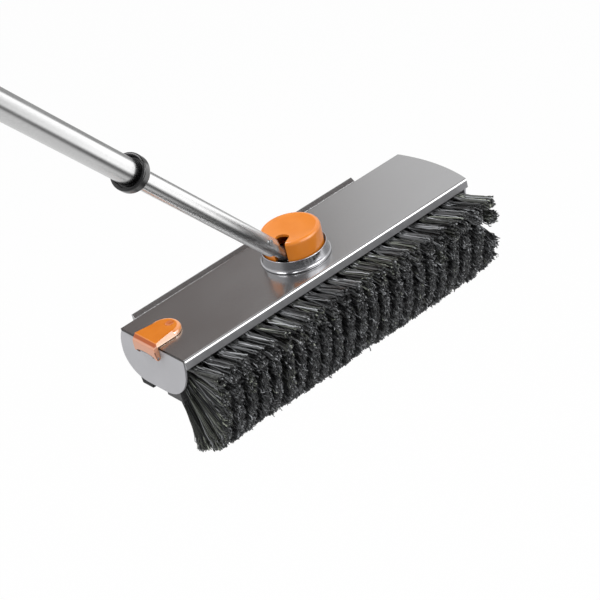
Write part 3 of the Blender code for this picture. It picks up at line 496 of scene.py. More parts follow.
def tubeSteel():
    # drawn tube: fine lines run along the pole
    paint, sockets = newFinish("tubeSteel", (0.56, 0.56, 0.56), 0.25, 1.0)
    lay = poleTowards.to_track_quat("X", "Z").inverted().to_euler()
    streak = grain(paint, (4, 1500, 1500), 3, lay)
    haze = grain(paint, (12, 30, 30), 4, lay)
    colour = tint(paint, streak, (0.53, 0.53, 0.53), (0.59, 0.59, 0.59))
    return dressed(paint, sockets, colour, spread(paint, haze, 0.21, 0.28), bump(paint, streak, 0.000006, 0.08))


# painted shade along the plate's top edge: axis, where it starts and where it is full, and its colour
platePaint = {"seam": (2, -0.0021, -0.0016), "seamColour": (0.025, 0.022, 0.02)}


def greyPlate():
    # painted plate with a band of painted shade along its top edge, where it meets the sheet
    paint, sockets = newFinish("greyPlate", (0.45, 0.45, 0.47), 0.42, 0.2)
    speck = grain(paint, (1500, 1500, 1500), 2)
    haze = grain(paint, (40, 40, 40), 4)
    colour = tint(paint, haze, (0.435, 0.435, 0.455), (0.475, 0.473, 0.495))
    colour = banded(paint, colour, platePaint, "seam")
    return dressed(paint, sockets, colour, relief=bump(paint, speck, 0.00003, 0.4))


def polishedRing():
    paint, sockets = newFinish("polishedRing", (0.40, 0.40, 0.415), 0.2, 1.0)
    haze = grain(paint, (60, 60, 60), 4)
    line = grain(paint, (20, 20, 2600), 2)
    return dressed(paint, sockets, None, spread(paint, haze, 0.16, 0.22), bump(paint, line, 0.000006, 0.2))


# the latch's gloss and its painted light and shade; each band is an axis, where it starts and where it is full
latchPaint = {
    "coatIor": 2.2, "coatTint": (1.0, 0.93, 0.62, 1), "tongue": (0, -0.1472, -0.1464),
    "dimple": (-0.1230, 0.0083, 0.0046), "dimpleSpan": (0.0028, 0.0046), "dimpleColour": (0.50, 0.115, 0.010),
    "shoulder": (0, -0.1468, -0.1474), "shoulderColour": (0.40, 0.075, 0.004),
    "face": (2, 0.0022, 0.0014), "faceColour": (0.68, 0.33, 0.21),
    "lip": ((0, -0.15042, -0.15036), (0, -0.1495, -0.1499), (2, -0.0020, -0.0022)),
    "lipColour": (0.03, 0.012, 0.008),
}


def orangeMoulding(name, coat, latch=None):
    # glossy moulding; on the latch, the face over the end plate is painted pale, a painted sheen
    paint, sockets = newFinish(name, (0.79, 0.24, 0.03), 0.18)
    sockets["Coat Weight"].default_value = coat
    sockets["Coat Roughness"].default_value = 0.12
    haze = grain(paint, (60, 60, 60), 5)
    peel = grain(paint, (900, 900, 900), 2)
    colour = tint(paint, haze, (0.74, 0.215, 0.018), (0.80, 0.25, 0.024))
    if latch:
        sockets["Coat IOR"].default_value = latch["coatIor"]
        sockets["Coat Tint"].default_value = latch["coatTint"]
        place = addNode(paint, "ShaderNodeTexCoord")
        reach = addNode(paint, "ShaderNodeVectorMath", operation="DISTANCE")
        wire(paint, place.outputs["Object"], reach.inputs[0])
        reach.inputs[1].default_value = latch["dimple"]
        away = spread(paint, reach.outputs["Value"], 0, 1, *latch["dimpleSpan"])
        wire(paint, times(paint, edgeMask(paint, *latch["tongue"]), away), sockets["Coat Weight"])
        # painted shade: the dimple's hollow is painted a deeper orange
        colour = overlay(paint, spread(paint, away, 1, 0, 0, 1), colour, latch["dimpleColour"])
        # painted shade on the shoulder band over the end, and a painted pale sheen on the face below it
        colour = banded(paint, banded(paint, colour, latch, "shoulder"), latch, "face")
        # painted shadow: the thin inner lip under the arch is painted nearly black
        front, back, low = [edgeMask(paint, *band) for band in latch["lip"]]
        colour = overlay(paint, times(paint, times(paint, front, back), low), colour, latch["lipColour"])
    return dressed(paint, sockets, colour, spread(paint, haze, 0.20, 0.28), bump(paint, peel, 0.00002, 0.25))


def darkPlastic(name, colour, roughness):
    paint, sockets = newFinish(name, colour, roughness)
    haze = grain(paint, (70, 70, 70), 4)
    speck = grain(paint, (1300, 1300, 1300), 2)
    mottled = tint(paint, haze, [part * 0.85 for part in colour], [part * 1.15 for part in colour])
    return dressed(paint, sockets, mottled, spread(paint, haze, roughness - 0.05, roughness + 0.06),
                   bump(paint, speck, 0.00004, roughness * 0.8))


def bristleFibre():
    paint, sockets = newFinish("bristleFibre", (0.05, 0.05, 0.05), 0.30)
    sockets["Specular IOR Level"].default_value = 0.28
    colour = addNode(paint, "ShaderNodeVertexColor", layer_name="fibreColour")
    return dressed(paint, sockets, colour.outputs["Color"])


sheetFinish = satinSteel("sheetSteel", True)
railFinish = satinSteel("railSteel")
plateFinish = greyPlate()
ringFinish = polishedRing()
orangeFinish = orangeMoulding("orangeMoulding", 0.25)
latchFinish = orangeMoulding("latchMoulding", 1.0, latchPaint)
blockFinish = darkPlastic("blockPlastic", (0.22, 0.22, 0.23), 0.5)
bearingFinish = darkPlastic("bearingPlastic", (0.30, 0.30, 0.30), 0.4)
padFinish = darkPlastic("padFelt", (0.022, 0.022, 0.022), 0.85)
collarFinish = darkPlastic("collarPlastic", (0.014, 0.014, 0.015), 0.2)
gripFinish = darkPlastic("gripRubber", (0.03, 0.03, 0.03), 0.75)
pinFinish = satinSteel("pinSteel")
tubeFinish = tubeSteel()
fibreFinish = bristleFibre()
# the staves are a real dark backing, made nearly black as painted shade for the deep gaps between the tufts
staveFinish = darkPlastic("stavePlastic", (0.012, 0.012, 0.012), 0.6)
barFinish = darkPlastic("barPlastic", (0.06, 0.06, 0.062), 0.5)

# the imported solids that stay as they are
innerFinishes = (
    (pinFinish, ("slide_rail_front", "slide_rail_rear", "hub_screw_1", "hub_screw_2", "hub_screw_3", "latch_pin",
                 "swivel_base", "tilt_pin", "retaining_ring", "stem_rivet")),
    (bearingFinish, ("hub_bush", "thrust_washer", "lock_plug", "lock_cam")),
    (collarFinish, ("tube_bush",)),
)
for finish, nodeNames in innerFinishes:
    for nodeName in nodeNames:
        paintWith(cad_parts[nodeName], finish)
print("finishes on")


# The folded sheet cover

coverSet = {
    "left": -0.146, "right": 0.163, "front": -0.039, "back": 0.044,
    "lip": 0.008, "sheet": 0.0012, "fold": 0.0024, "wornEdge": 0.00022,
    "endRadius": 0.1747, "endCentre": (-0.0157, 0.0025),
    "hubHole": 0.01178, "screwHole": 0.00155, "screwCircle": 0.01498,
}


def roundCutter(radius, place, depth, steps, turn=(0, 0, 0)):
    deselectAll()
    bpy.ops.mesh.primitive_cylinder_add(vertices=steps, radius=radius, depth=depth, location=place, rotation=turn)
    return named("cutter")


def cutScrewHoles(piece):
    s = coverSet
    for index in range(3):
        turn = math.tau * index / 3 + math.pi / 6
        spot = (s["screwCircle"] * math.cos(turn), s["screwCircle"] * math.sin(turn), 0)
        cutWith(piece, roundCutter(s["screwHole"], spot, 0.02, 24))


def makeCover():
    s = coverSet
    deselectAll()
    bpy.ops.mesh.primitive_plane_add(size=1)
    piece = named("sheetCover")
    piece.scale = (s["right"] - s["left"], s["back"] - s["front"], 1)
    piece.location = ((s["right"] + s["left"]) / 2, (s["back"] + s["front"]) / 2, 0)
    applyPlace()
    pick(piece, lambda point: point.y < s["front"] + 0.0001, "EDGE")
    bpy.ops.mesh.extrude_edges_move(TRANSFORM_OT_translate={"value": (0, 0, -s["lip"])})
    pick(piece, lambda point: point.y < s["front"] + 0.0001 and point.z > -0.0001, "EDGE")
    bpy.ops.mesh.bevel(offset=s["fold"], segments=8, affect="EDGES")
    objectMode()
    topFace = max(piece.data.polygons, key=lambda face: face.area)
    thicken(piece, s["sheet"], -1 if topFace.normal.z > 0 else 1)
    cutWith(piece, roundCutter(s["endRadius"], (*s["endCentre"], 0), 0.1, 512), "INTERSECT")
    cutWith(piece, roundCutter(s["hubHole"], (0, 0, 0), 0.02, 96))
    cutScrewHoles(piece)
    soften(piece, s["wornEdge"], 2, 40)
    finishMesh(piece, 35, sheetFinish, "head", "cover")


makeCover()
print("cover made")


# Flat parts of the head: each keeps the outline of its node and gets its worn edges

def refine(nodeName, name, width, segments, finish, body, slotName):
    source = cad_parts[nodeName]
    deselectAll()
    piece = source.copy()
    piece.data = source.data.copy()
    for key in [key for key in piece.keys() if key.startswith("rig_")]:
        del piece[key]
    piece.name = piece.data.name = name
    piece.parent = None
    scene.collection.objects.link(piece)
    piece.hide_render = False
    only(piece)
    editMode()
    mergeDoubles()
    bpy.ops.mesh.dissolve_limited(angle_limit=math.radians(0.6))
    objectMode()
    soften(piece, width, segments, 40)
    finishMesh(piece, 35, finish, body, nodeName)


# node, name, width and segments of the worn edge, finish, body, slot
flatParts = (
    ("left_end_plate", "leftPlate", 0.00035, 3, plateFinish, "cartridge", "end_plate_grey"),
    ("right_end_plate", "rightPlate", 0.00035, 3, plateFinish, "head", "end_plate_grey"),
    ("rear_rail", "rearRail", 0.00012, 2, railFinish, "head", "brushed_steel"),
    ("brush_block", "brushBlock", 0.00030, 2, blockFinish, "cartridge", "block_grey"),
    ("rear_pad", "rearPad", 0.00080, 3, padFinish, "cartridge", "pad_black"),
)
for flatPart in flatParts:
    refine(*flatPart)
print("flat parts refined")


# Hub: the polished ring and the knob

ringSet = {
    "neck": 0.01178, "base": 0.0003, "foot": 0.0288, "rim": 0.0268, "inner": 0.0257, "top": 0.0101,
    "floor": 0.0015, "wellSide": 0.0060, "steps": 160,
    "edge": ((0.0003, 0), (0.0001, 0.0001), (0, 0.0003), (0, 0.0007), (0.0001, 0.0009), (0.0003, 0.0010)),
    "flank": ((0.0007, 0.0015), (0.00105, 0.0019), (0.00130, 0.0025), (0.00148, 0.0034), (0.00160, 0.0046)),
    "upper": ((0.00025, 0.0062), (0.00012, 0.0078), (0.00003, 0.0090)),
}


def makeRing():
    # the cone flares out to a thin foot, and the rim turns over into the well
    s = ringSet
    foot, rim = s["foot"], s["rim"]
    rings = [(s["neck"], s["base"])] + [(foot - inset, s["base"] + rise) for inset, rise in s["edge"]]
    rings += [(foot - inset, height) for inset, height in s["flank"]]
    rings += [(rim + outset, height) for outset, height in s["upper"]]
    half = (rim - s["inner"]) / 2
    rings += roundOver((rim - half, s["top"] - half), half, 0, 180, 10)
    inner, floor = s["inner"], s["floor"]
    rings += [(inner, s["wellSide"]), (inner, floor + 0.0008), (inner - 0.0002, floor + 0.0002),
              (inner - 0.0008, floor), (s["neck"], floor)]
    piece = turnUp("hubRing", rings, s["steps"])
    cutScrewHoles(piece)
    finishMesh(piece, 35, ringFinish, "head", "hub_ring")


knobSet = {
    "radius": 0.0246, "bottom": 0.0039, "top": 0.0263, "shoulder": 0.0034, "dish": 0.0004,
    "well": 0.0201, "wellRound": 0.0012, "seat": 0.0173, "skirt": 0.0052, "roof": 0.0238, "steps": 144,
    "sides": (0.0100, 0.0160), "crown": ((0.0008, 0.00003), (0.0030, 0.00018)),
    "roomReach": 0.0208, "roomHalf": 0.0086, "roomTop": 0.0148,
    "slotStart": 0.0104, "slotHalf": 0.0056, "slotEnd": 0.0045, "slotRound": 0.0006,
    "turn": -153,                             # towards the pole, in degrees
}


def makeBox(low, high, name="cutter"):
    deselectAll()
    bpy.ops.mesh.primitive_cube_add(size=1)
    box = named(name)
    box.scale = [b - a for a, b in zip(low, high)]
    box.location = [(a + b) / 2 for a, b in zip(low, high)]
    applyPlace()
    return box


def makeKnob():
    # a thick cap with a round shoulder and a faintly dished top, hollow inside, slotted for the pole
    s = knobSet
    radius, top, shoulder = s["radius"], s["top"], s["shoulder"]
    rings = [(0, s["roof"]), (s["well"] - s["wellRound"], s["roof"]), (s["well"], s["roof"] - s["wellRound"]),
             (s["well"], s["skirt"]), (s["seat"], s["skirt"]), (s["seat"], s["bottom"]),
             (radius - 0.0004, s["bottom"]), (radius - 0.0001, s["bottom"] + 0.0001),
             (radius, s["bottom"] + 0.0004)]
    rings += [(radius, height) for height in s["sides"]]
    rings += roundOver((radius - shoulder, top - shoulder), shoulder, 0, 90, 14)
    rings += [(radius - shoulder - inset, top - drop) for inset, drop in s["crown"]]
    rings += [(0.012, top - s["dish"] * 0.8), (0.006, top - s["dish"]), (0, top - s["dish"])]
    piece = turnUp("hubKnob", rings, s["steps"], closed=False)
    cutWith(piece, makeBox((0, -s["roomHalf"], 0), (s["roomReach"], s["roomHalf"], s["roomTop"])))
    slotBox = makeBox((s["slotStart"], -s["slotHalf"], 0), (0.04, s["slotHalf"], 0.04))
    pick(slotBox, lambda point: point.x < s["slotStart"] + 0.0001, "EDGE")
    bpy.ops.mesh.bevel(offset=s["slotEnd"], segments=8, affect="EDGES")
    objectMode()
    cutWith(piece, slotBox)
    soften(piece, s["slotRound"], 3, 50)
    finishMesh(piece, 35, orangeFinish, "swivel", "hub_knob",
               Matrix.Rotation(math.radians(s["turn"]), 4, "Z"))


makeRing()
makeKnob()
print("hub made")


# End latch: a tongue on the sheet that bends down over the end plate

latchSet = {
    "middle": 0.0083, "half": 0.0138, "outer": -0.1505, "inner": -0.1463, "tip": -0.1155,
    "under": 0.0003, "top": 0.0046, "shoulder": 0.0038, "rounding": 0.0031, "underRound": 0.0004,
    "pin": (-0.1482, -0.0088), "knuckle": 0.0019, "knuckleGap": 0.0004, "bore": 0.0012,
    "foot": -0.0086, "archHalf": 0.0084, "archFoot": -0.0065, "archTop": -0.0047, "archRoom": -0.016,
    "skirt": -0.1508, "skirtTop": -0.0030, "skirtInner": -0.1503, "wingDrop": 0.0004, "flare": 0.0020,
    "bow": 0.0027, "bowHalf": 0.0120, "bowShift": 0.0006, "inset": 0.00004,
    "lipDeep": 0.0003, "lipInset": 0.0006, "lipNarrow": 0.0004, "lipDrop": 0.0009,
    "dimple": (-0.1230, 0.0083), "dimpleRadius": 0.0034, "dimpleDepth": 0.0006, "wornEdge": 0.00035,
}


def archCutter(start, y, z, half, rise):
    # half an ellipse across the head, drawn from the start towards the right
    depth = 0.008
    arch = roundCutter(1, (0, 0, 0), depth, 64, (0, math.pi / 2, 0))
    applyPlace()
    arch.scale = (1, half, rise)
    arch.location = (start + depth / 2, y, z)
    applyPlace()
    return arch


def pinCutter(radius, depth, steps):
    # a rod along the latch's hinge
    x, z = latchSet["pin"]
    return roundCutter(radius, (x, latchSet["middle"], z), depth, steps, (math.pi / 2, 0, 0))


def makeLatch():
    s = latchSet
    y, low, high = s["middle"], s["middle"] - s["half"], s["middle"] + s["half"]
    close, near = 0.00001, 0.0001
    # the tongue: half a circle drawn back to the end of the head, filled, raised and rounded over
    deselectAll()
    centre = s["tip"] - s["half"]
    bpy.ops.mesh.primitive_circle_add(vertices=96, radius=s["half"], location=(centre, y, s["under"]))
    piece = named("endLatch")
    applyPlace()
    pick(piece, lambda point: point.x < centre - close)
    bpy.ops.mesh.delete(type="VERT")
    pick(piece, lambda point: point.x < centre + close)
    bpy.ops.mesh.extrude_vertices_move(TRANSFORM_OT_translate={"value": (s["outer"] - centre, 0, 0)})
    bpy.ops.mesh.select_all(action="SELECT")
    bpy.ops.mesh.edge_face_add()
    bpy.ops.mesh.extrude_region_move(TRANSFORM_OT_translate={"value": (0, 0, s["top"] - s["under"])})
    pick(piece, lambda point: point.z > s["top"] - close and point.x < s["outer"] + close)
    bpy.ops.transform.translate(value=(s["shoulder"], 0, 0))
    pick(piece, lambda point: point.z > s["top"] - close and point.x > s["outer"] + s["shoulder"] + near, "EDGE")
    bpy.ops.mesh.bevel(offset=s["rounding"], segments=8, affect="EDGES")
    pick(piece, lambda point: point.z < s["under"] + close, "EDGE")
    bpy.ops.mesh.bevel(offset=s["underRound"], segments=3, affect="EDGES")
    turnOutwards()
    # the face over the end plate stands out in front of the knuckles; an arch behind it clears the plate's lug
    face = makeBox((s["outer"] + s["inset"], low + s["inset"], s["foot"]),
                   (s["inner"], high - s["inset"], s["under"] + near))
    pick(face, lambda point: True)
    bpy.ops.mesh.bisect(plane_co=(0, 0, s["skirtTop"]), plane_no=(0, 0, 1))
    pick(face, lambda point: point.x < s["inner"] - 0.001 and point.z < s["skirtTop"] + near)
    bpy.ops.transform.translate(value=(s["skirt"] - s["outer"], 0, 0))
    objectMode()
    cutWith(piece, face, "UNION")
    # the skirt's front foot spreads over the plate's slot
    wing = makeBox((s["skirt"], low + s["inset"], s["foot"]), (s["skirtInner"], y, s["skirtTop"] - s["wingDrop"]))
    pick(wing, lambda point: point.y < y - 0.001 and point.z < s["foot"] + near)
    bpy.ops.transform.translate(value=(0, -s["flare"], 0))
    objectMode()
    cutWith(piece, wing, "UNION")
    cutWith(piece, pinCutter(s["knuckle"], 2 * s["half"] - s["knuckleGap"], 48), "UNION")
    cutWith(piece, archCutter(s["skirtInner"], y, s["archFoot"], s["archHalf"], s["archTop"] - s["archFoot"]))
    cutWith(piece, makeBox((s["skirtInner"], y - s["archHalf"], s["archRoom"]),
                           (s["inner"] + 0.003, y + s["archHalf"], s["archFoot"])))
    cutWith(piece, archCutter(s["skirt"] - 0.001, y - s["bowShift"], s["foot"], s["bowHalf"] + s["bowShift"], s["bow"]))
    # a thin inner lip under the arch, painted nearly black as painted shadow where there is only shade
    lip = makeBox((s["skirtInner"] - 2 * close, low + s["lipInset"], s["foot"] + near),
                  (s["skirtInner"] + s["lipDeep"], high - s["lipInset"], s["skirtTop"]))
    cutWith(lip, archCutter(s["skirt"] - 0.001, y, s["foot"] - s["lipDrop"], s["bowHalf"] - s["lipNarrow"], s["bow"]))
    cutWith(piece, lip, "UNION")
    cutWith(piece, pinCutter(s["bore"], 0.04, 24))
    # the thumb dimple
    ball = (s["dimpleRadius"] ** 2 + s["dimpleDepth"] ** 2) / (2 * s["dimpleDepth"])
    deselectAll()
    bpy.ops.mesh.primitive_uv_sphere_add(segments=96, ring_count=96, radius=ball,
                                         location=(*s["dimple"], s["top"] - s["dimpleDepth"] + ball))
    cutWith(piece, named("cutter"))
    soften(piece, s["wornEdge"], 3, 45)
    finishMesh(piece, 40, latchFinish, "latch", "end_latch")


makeLatch()
print("latch made")


# Pole: everything is turned up along Z from the tilt pin, then laid along the pole

poleSet = {
    "pivot": (-0.014256, -0.007264, 0.010),
    "innerStart": 0.0313, "innerEnd": 0.6403, "innerRadius": 0.0075, "innerWall": 0.0008,
    "outerStart": 0.2535, "outerEnd": 0.8735, "outerRadius": 0.0095, "outerWall": 0.0006,
    "collarStart": 0.248, "collarRadius": 0.0138, "collarLength": 0.0105, "collarMouth": 0.0116,
    "collarRound": 0.0042, "mouthRound": 0.0016, "mouthDeep": 0.0041, "collarFloor": 0.0035,
    "gripStart": 0.7532, "gripEnd": 0.8732, "gripRadius": 0.0130, "gripWaist": 0.0119, "gripRibs": 9,
    "gripBelly": 0.0003, "gripSwell": 0.55, "gripPlain": 0.003,
    "capStart": 0.8738, "capEnd": 0.8898, "capRadius": 0.0132, "capStep": 0.0005, "capWall": 0.0040,
    "capPlug": 0.0180, "clear": 0.0003,
    "steps": 96,
}


def polePlace():
    towards = poleTowards.normalized()
    turn = math.radians(knobSet["turn"])
    across = Vector((math.sin(turn), -math.cos(turn), 0))
    lay = Matrix((across.cross(towards), across, towards)).transposed().to_4x4()
    return Matrix.Translation(poleSet["pivot"]) @ lay


def makeTube(name, which, body, nodeName):
    # a drawn tube with small chamfers at its cut ends, ringed along its length so that it shades evenly
    start, end, radius, wall = [poleSet[which + part] for part in ("Start", "End", "Radius", "Wall")]
    rings = [(radius - wall, start), (radius - 0.0002, start), (radius, start + 0.0003)]
    stops = 12
    rings += [(radius, start + (end - start) * stop / stops) for stop in range(1, stops)]
    rings += [(radius, end - 0.0003), (radius - 0.0002, end), (radius - wall, end)]
    piece = turnUp(name, rings, poleSet["steps"])
    finishMesh(piece, 35, tubeFinish, body, nodeName, polePlace())


def makeCollar():
    s = poleSet
    low, radius, mouth = s["collarStart"], s["collarRadius"], s["collarMouth"]
    high = low + s["collarLength"]
    seat, bore = s["outerRadius"] + s["clear"], s["innerRadius"] + 0.0005
    under, over, deep, floor = s["collarRound"], s["mouthRound"], high - s["mouthDeep"], low + s["collarFloor"]
    rings = [(bore, low), (0.0090, low)]
    rings += roundOver((radius - under, low + under), under, -90, 0, 12)
    rings += roundOver((radius - over, high - over), over, 0, 90, 8)
    rings += [(mouth + 0.0002, high), (mouth, high - 0.0002), (mouth - 0.0003, deep + 0.0003),
              (mouth - 0.0006, deep), (seat, deep), (seat, floor), (bore, floor)]
    piece = turnUp("lockCollar", rings, 128)
    finishMesh(piece, 35, collarFinish, "collar", "lock_collar", polePlace())


def makeGrip():
    s = poleSet
    bore, waist = s["outerRadius"] + s["clear"], s["gripWaist"]
    low, high, plain = s["gripStart"], s["gripEnd"], s["gripPlain"]
    rings = [(bore, low), (waist - 0.0006, low), (waist, low + 0.0006)]
    count = s["gripRibs"] * 14
    for step in range(count + 1):
        part = step / count
        swell = (0.5 - 0.5 * math.cos(math.tau * s["gripRibs"] * part)) ** s["gripSwell"]
        belly = s["gripBelly"] * math.sin(math.pi * part)
        rings.append((waist + (s["gripRadius"] - waist - s["gripBelly"]) * swell + belly,
                      low + plain + (high - low - 2 * plain) * part))
    rings += [(waist, high - 0.0006), (waist - 0.0006, high), (bore, high)]
    piece = turnUp("handGrip", rings, s["steps"])
    finishMesh(piece, 40, gripFinish, "pole", "grip", polePlace())


def makeCap():
    # a domed end with a shallow step, over a plug that sits in the tube
    s = poleSet
    low, high, radius = s["capStart"], s["capEnd"], s["capRadius"]
    plug, start = s["outerRadius"] - s["outerWall"] - s["clear"], low - s["capPlug"]
    dome, wall = radius - s["capStep"], low + s["capWall"]
    rings = [(0.0002, start), (plug - 0.0005, start), (plug, start + 0.0005), (plug, low),
             (radius - 0.0004, low), (radius, low + 0.0004), (radius, wall - 0.0010), (dome, wall - 0.0006),
             (dome, wall)]
    for degrees in range(8, 88, 8):
        turn = math.radians(degrees)
        rings.append((dome * math.cos(turn), wall + (high - wall) * math.sin(turn)))
    rings += [(0.0002, high)]
    piece = turnUp("endCap", rings, s["steps"], closed=False)
    editMode()
    pickOpenEdges()
    bpy.ops.mesh.edge_face_add()
    objectMode()
    finishMesh(piece, 30, collarFinish, "pole", "end_cap", polePlace())


makeTube("innerTube", "inner", "stem", "inner_tube")
makeTube("outerTube", "outer", "pole", "outer_tube")
makeCollar()
makeGrip()
makeCap()
refine("stem_knuckle", "stemKnuckle", 0.00030, 3, pinFinish, "stem", "pin_steel")
print("pole made")


# Bristles: one filament is modelled and then set out in tufts, row by row

bristleSet = {
    "rowAngles": (-3, 16, 34, 49, 62, 82), "rowLengths": (0.0373, 0.0400, 0.0443, 0.0502, 0.0535, 0.0467),
    "roots": ((-0.0352, -0.0102), (-0.0337, -0.0164), (-0.0310, -0.0231), (-0.0267, -0.0300),
              (-0.0206, -0.0365), (-0.0115, -0.0497)),
    "tufts": 23, "perTuft": (135, 125, 138, 138, 138, 120), "firstX": -0.1392, "lastX": 0.1404,
    "thickness": 0.00084, "halfWide": (0.0040, 0.0034, 0.0032, 0.0031, 0.0031, 0.0034),
    "rootDeep": 0.0022, "rootSunk": 0.003,
    "tipShare": 0.50,                         # how far a tuft fans towards the next row
    "firstShare": (0.34, 0.34, 0.34, 0.44, 0.44, 0.44), "lastShare": 0.27,
    "scatter": 0.03,
    "sideScatter": (0.05, 0.0005, 0.00015),   # of a tuft's width, its place and each fibre's place
    "leanSpread": 0.25, "trimScatter": 0.0004, "shortest": 0.0020, "rounding": 15,
    "fat": (0.75, 0.5),                       # the thinnest fibre, and the spread above it
    # spans are shares of a fibre's length, from where a bend starts to where it is full
    "wave": 0.00010, "waveFrom": 0.2,
    "crimp": (0.00010, 0.00035, 0.00050, 0.00050, 0.00050, 0.00050), "crimpSpan": (0.6, 0.85),
    "curl": (0.0002, 0.0004, 0.0005, 0.0005, 0.0005, 0.0005), "curlSpan": (0.84, 1), "curlPower": 1.3,
    "bendShare": 0.55, "bendSpan": (0.66, 0.86),
    "mottle": 1.5, "mottleFrom": 0.7, "mottleMiddle": 0.45,
    "levels": (0, 0.45, 0.74, 0.83, 0.89, 0.93, 0.965, 1.0),   # rings along a filament, closer at its tip
    "endLean": (0.0066, 0.0066, 0.0064, 0.0074, 0.0062, 0.0038), "endShares": (0.15, 0.45, 1.0),
    "endShift": (0.02, -0.18, 0.22, 0.10, 0, 0),               # how the last tufts part, in rows
    "strayShare": 0.010, "strayReach": 0.004, "seed": 11,
}

# the top row's tufts are flat slabs with straight fibres laid close along their upper face; paint is the start, rise
# and power of the brightness along a fibre: painted light at the top row's root against the lip's shadow, painted shade
# at the other rows' roots
rowSet = {
    "top": {"skin": 0.5, "skinDeep": 0.06, "corners": 0.15, "rootWide": 1.12, "thick": 1.25, "lengths": 0.0016,
            "paint": (2.3, -0.9, 1), "mottle": 0, "khakiTufts": 0.30, "dark": 0.35},
    "other": {"skin": 0, "corners": 0.45, "rootWide": 1, "thick": 1, "lengths": 0.0006,
              "paint": (0.07, 1.45, 3.5), "mottle": 1, "khakiTufts": 0.05, "dark": 0},
}

fibrePaint = {
    "charcoal": (0.012, 0.060, 1.8), "cast": (0.97, 1, 1.04), "paleShare": 0.16, "pale": (0.10, 0.16),
    "khakiShares": (0.03, 0.40), "khaki": (1.06, 1.10, 0.88),
    "darkened": 0.12, "lightened": (1.45, 0.018),   # for contrast in the top row
    "firstTuft": (1.15, 0.35),                      # its side is in plain view, so it is lit from root to tip
}


def makeFilament():
    # a four-sided rod of unit length and radius, one ring for each level, closed at both ends
    deselectAll()
    levels = bristleSet["levels"]
    bpy.ops.mesh.primitive_circle_add(vertices=4, radius=1, fill_type="NGON")
    piece = named("filament")
    editMode()
    for low, high in zip(levels, levels[1:]):
        bpy.ops.mesh.extrude_region_move(TRANSFORM_OT_translate={"value": (0, 0, high - low)})
    turnOutwards()
    mesh = piece.data
    points = np.array([point.co for point in mesh.vertices])
    faces = [list(face.vertices) for face in mesh.polygons]
    bpy.data.objects.remove(piece, do_unlink=True)
    return points, faces


def tipLine(where):
    # the smooth line that the trimmed tips follow round the fan; row n's middle is at n
    s = bristleSet
    tips = []
    for angle, length, root in zip(s["rowAngles"], s["rowLengths"], s["roots"]):
        turn = math.radians(angle)
        tips.append((root[0] - length * math.cos(turn), root[1] - length * math.sin(turn)))
    tips = np.array(tips)
    tips = np.vstack([2 * tips[0] - tips[1] + (-0.0034, -0.0078), tips, 2 * tips[-1] - tips[-2] + (-0.012, 0.004)])
    where = np.clip(where + 1, 0.001, len(tips) - 1.001)
    low = np.floor(where).astype(int)
    part = (where - low)[:, None]
    before = tips[np.clip(low - 1, 0, None)]
    after = tips[np.clip(low + 2, None, len(tips) - 1)]
    start, end = tips[low], tips[low + 1]
    return 0.5 * (2 * start + (end - before) * part + (2 * before - 5 * start + 4 * end - after) * part ** 2
                  + (3 * start - before - 3 * end + after) * part ** 3)


def fibreColours(rng, total, tuft, number, r):
    # charcoal, a few paler grey fibres, and khaki ones that gather in some tufts
    s, f = bristleSet, fibrePaint
    least, most, power = f["charcoal"]
    shade = least + most * rng.random(total) ** power
    pale = rng.random(total) < f["paleShare"]
    shade[pale] = f["pale"][0] + f["pale"][1] * rng.random(pale.sum())
    colour = np.stack([shade * part for part in f["cast"]], 1)
    khakiTuft = rng.random(s["tufts"]) < r["khakiTufts"]
    khakiTuft[0] = True
    khakiTuft[-1] = number < 2
    rare, common = f["khakiShares"]
    khaki = rng.random(total) < np.where(khakiTuft[tuft], common, rare)
    colour[khaki] = colour[khaki] * np.array(f["khaki"])
    if r["dark"]:
        dark = rng.random(total) < r["dark"]
        colour[dark] = colour[dark] * f["darkened"]
        colour[~dark] = colour[~dark] * f["lightened"][0] + f["lightened"][1]
    return colour


def rising(levels, start, end):
    return np.clip((levels - start) / (end - start), 0, 1)


def fibreMesh(name, points, faces, total):
    # one mesh of all copies of a filament
    stride = len(points) // total
    corners = [corner for face in faces for corner in face]
    sizes = np.tile([len(face) for face in faces], total)
    loops = (np.array(corners)[None, :] + stride * np.arange(total)[:, None]).ravel()
    starts = np.concatenate([[0], np.cumsum(sizes)[:-1]])
    mesh = bpy.data.meshes.new(name)
    mesh.vertices.add(len(points))
    mesh.loops.add(len(loops))
    mesh.polygons.add(len(sizes))
    mesh.vertices.foreach_set("co", points.astype(np.float32).ravel())
    mesh.loops.foreach_set("vertex_index", loops.astype(np.int32))
    mesh.polygons.foreach_set("loop_start", starts.astype(np.int32))
    mesh.polygons.foreach_set("loop_total", sizes.astype(np.int32))
    mesh.update(calc_edges=True)
    return mesh


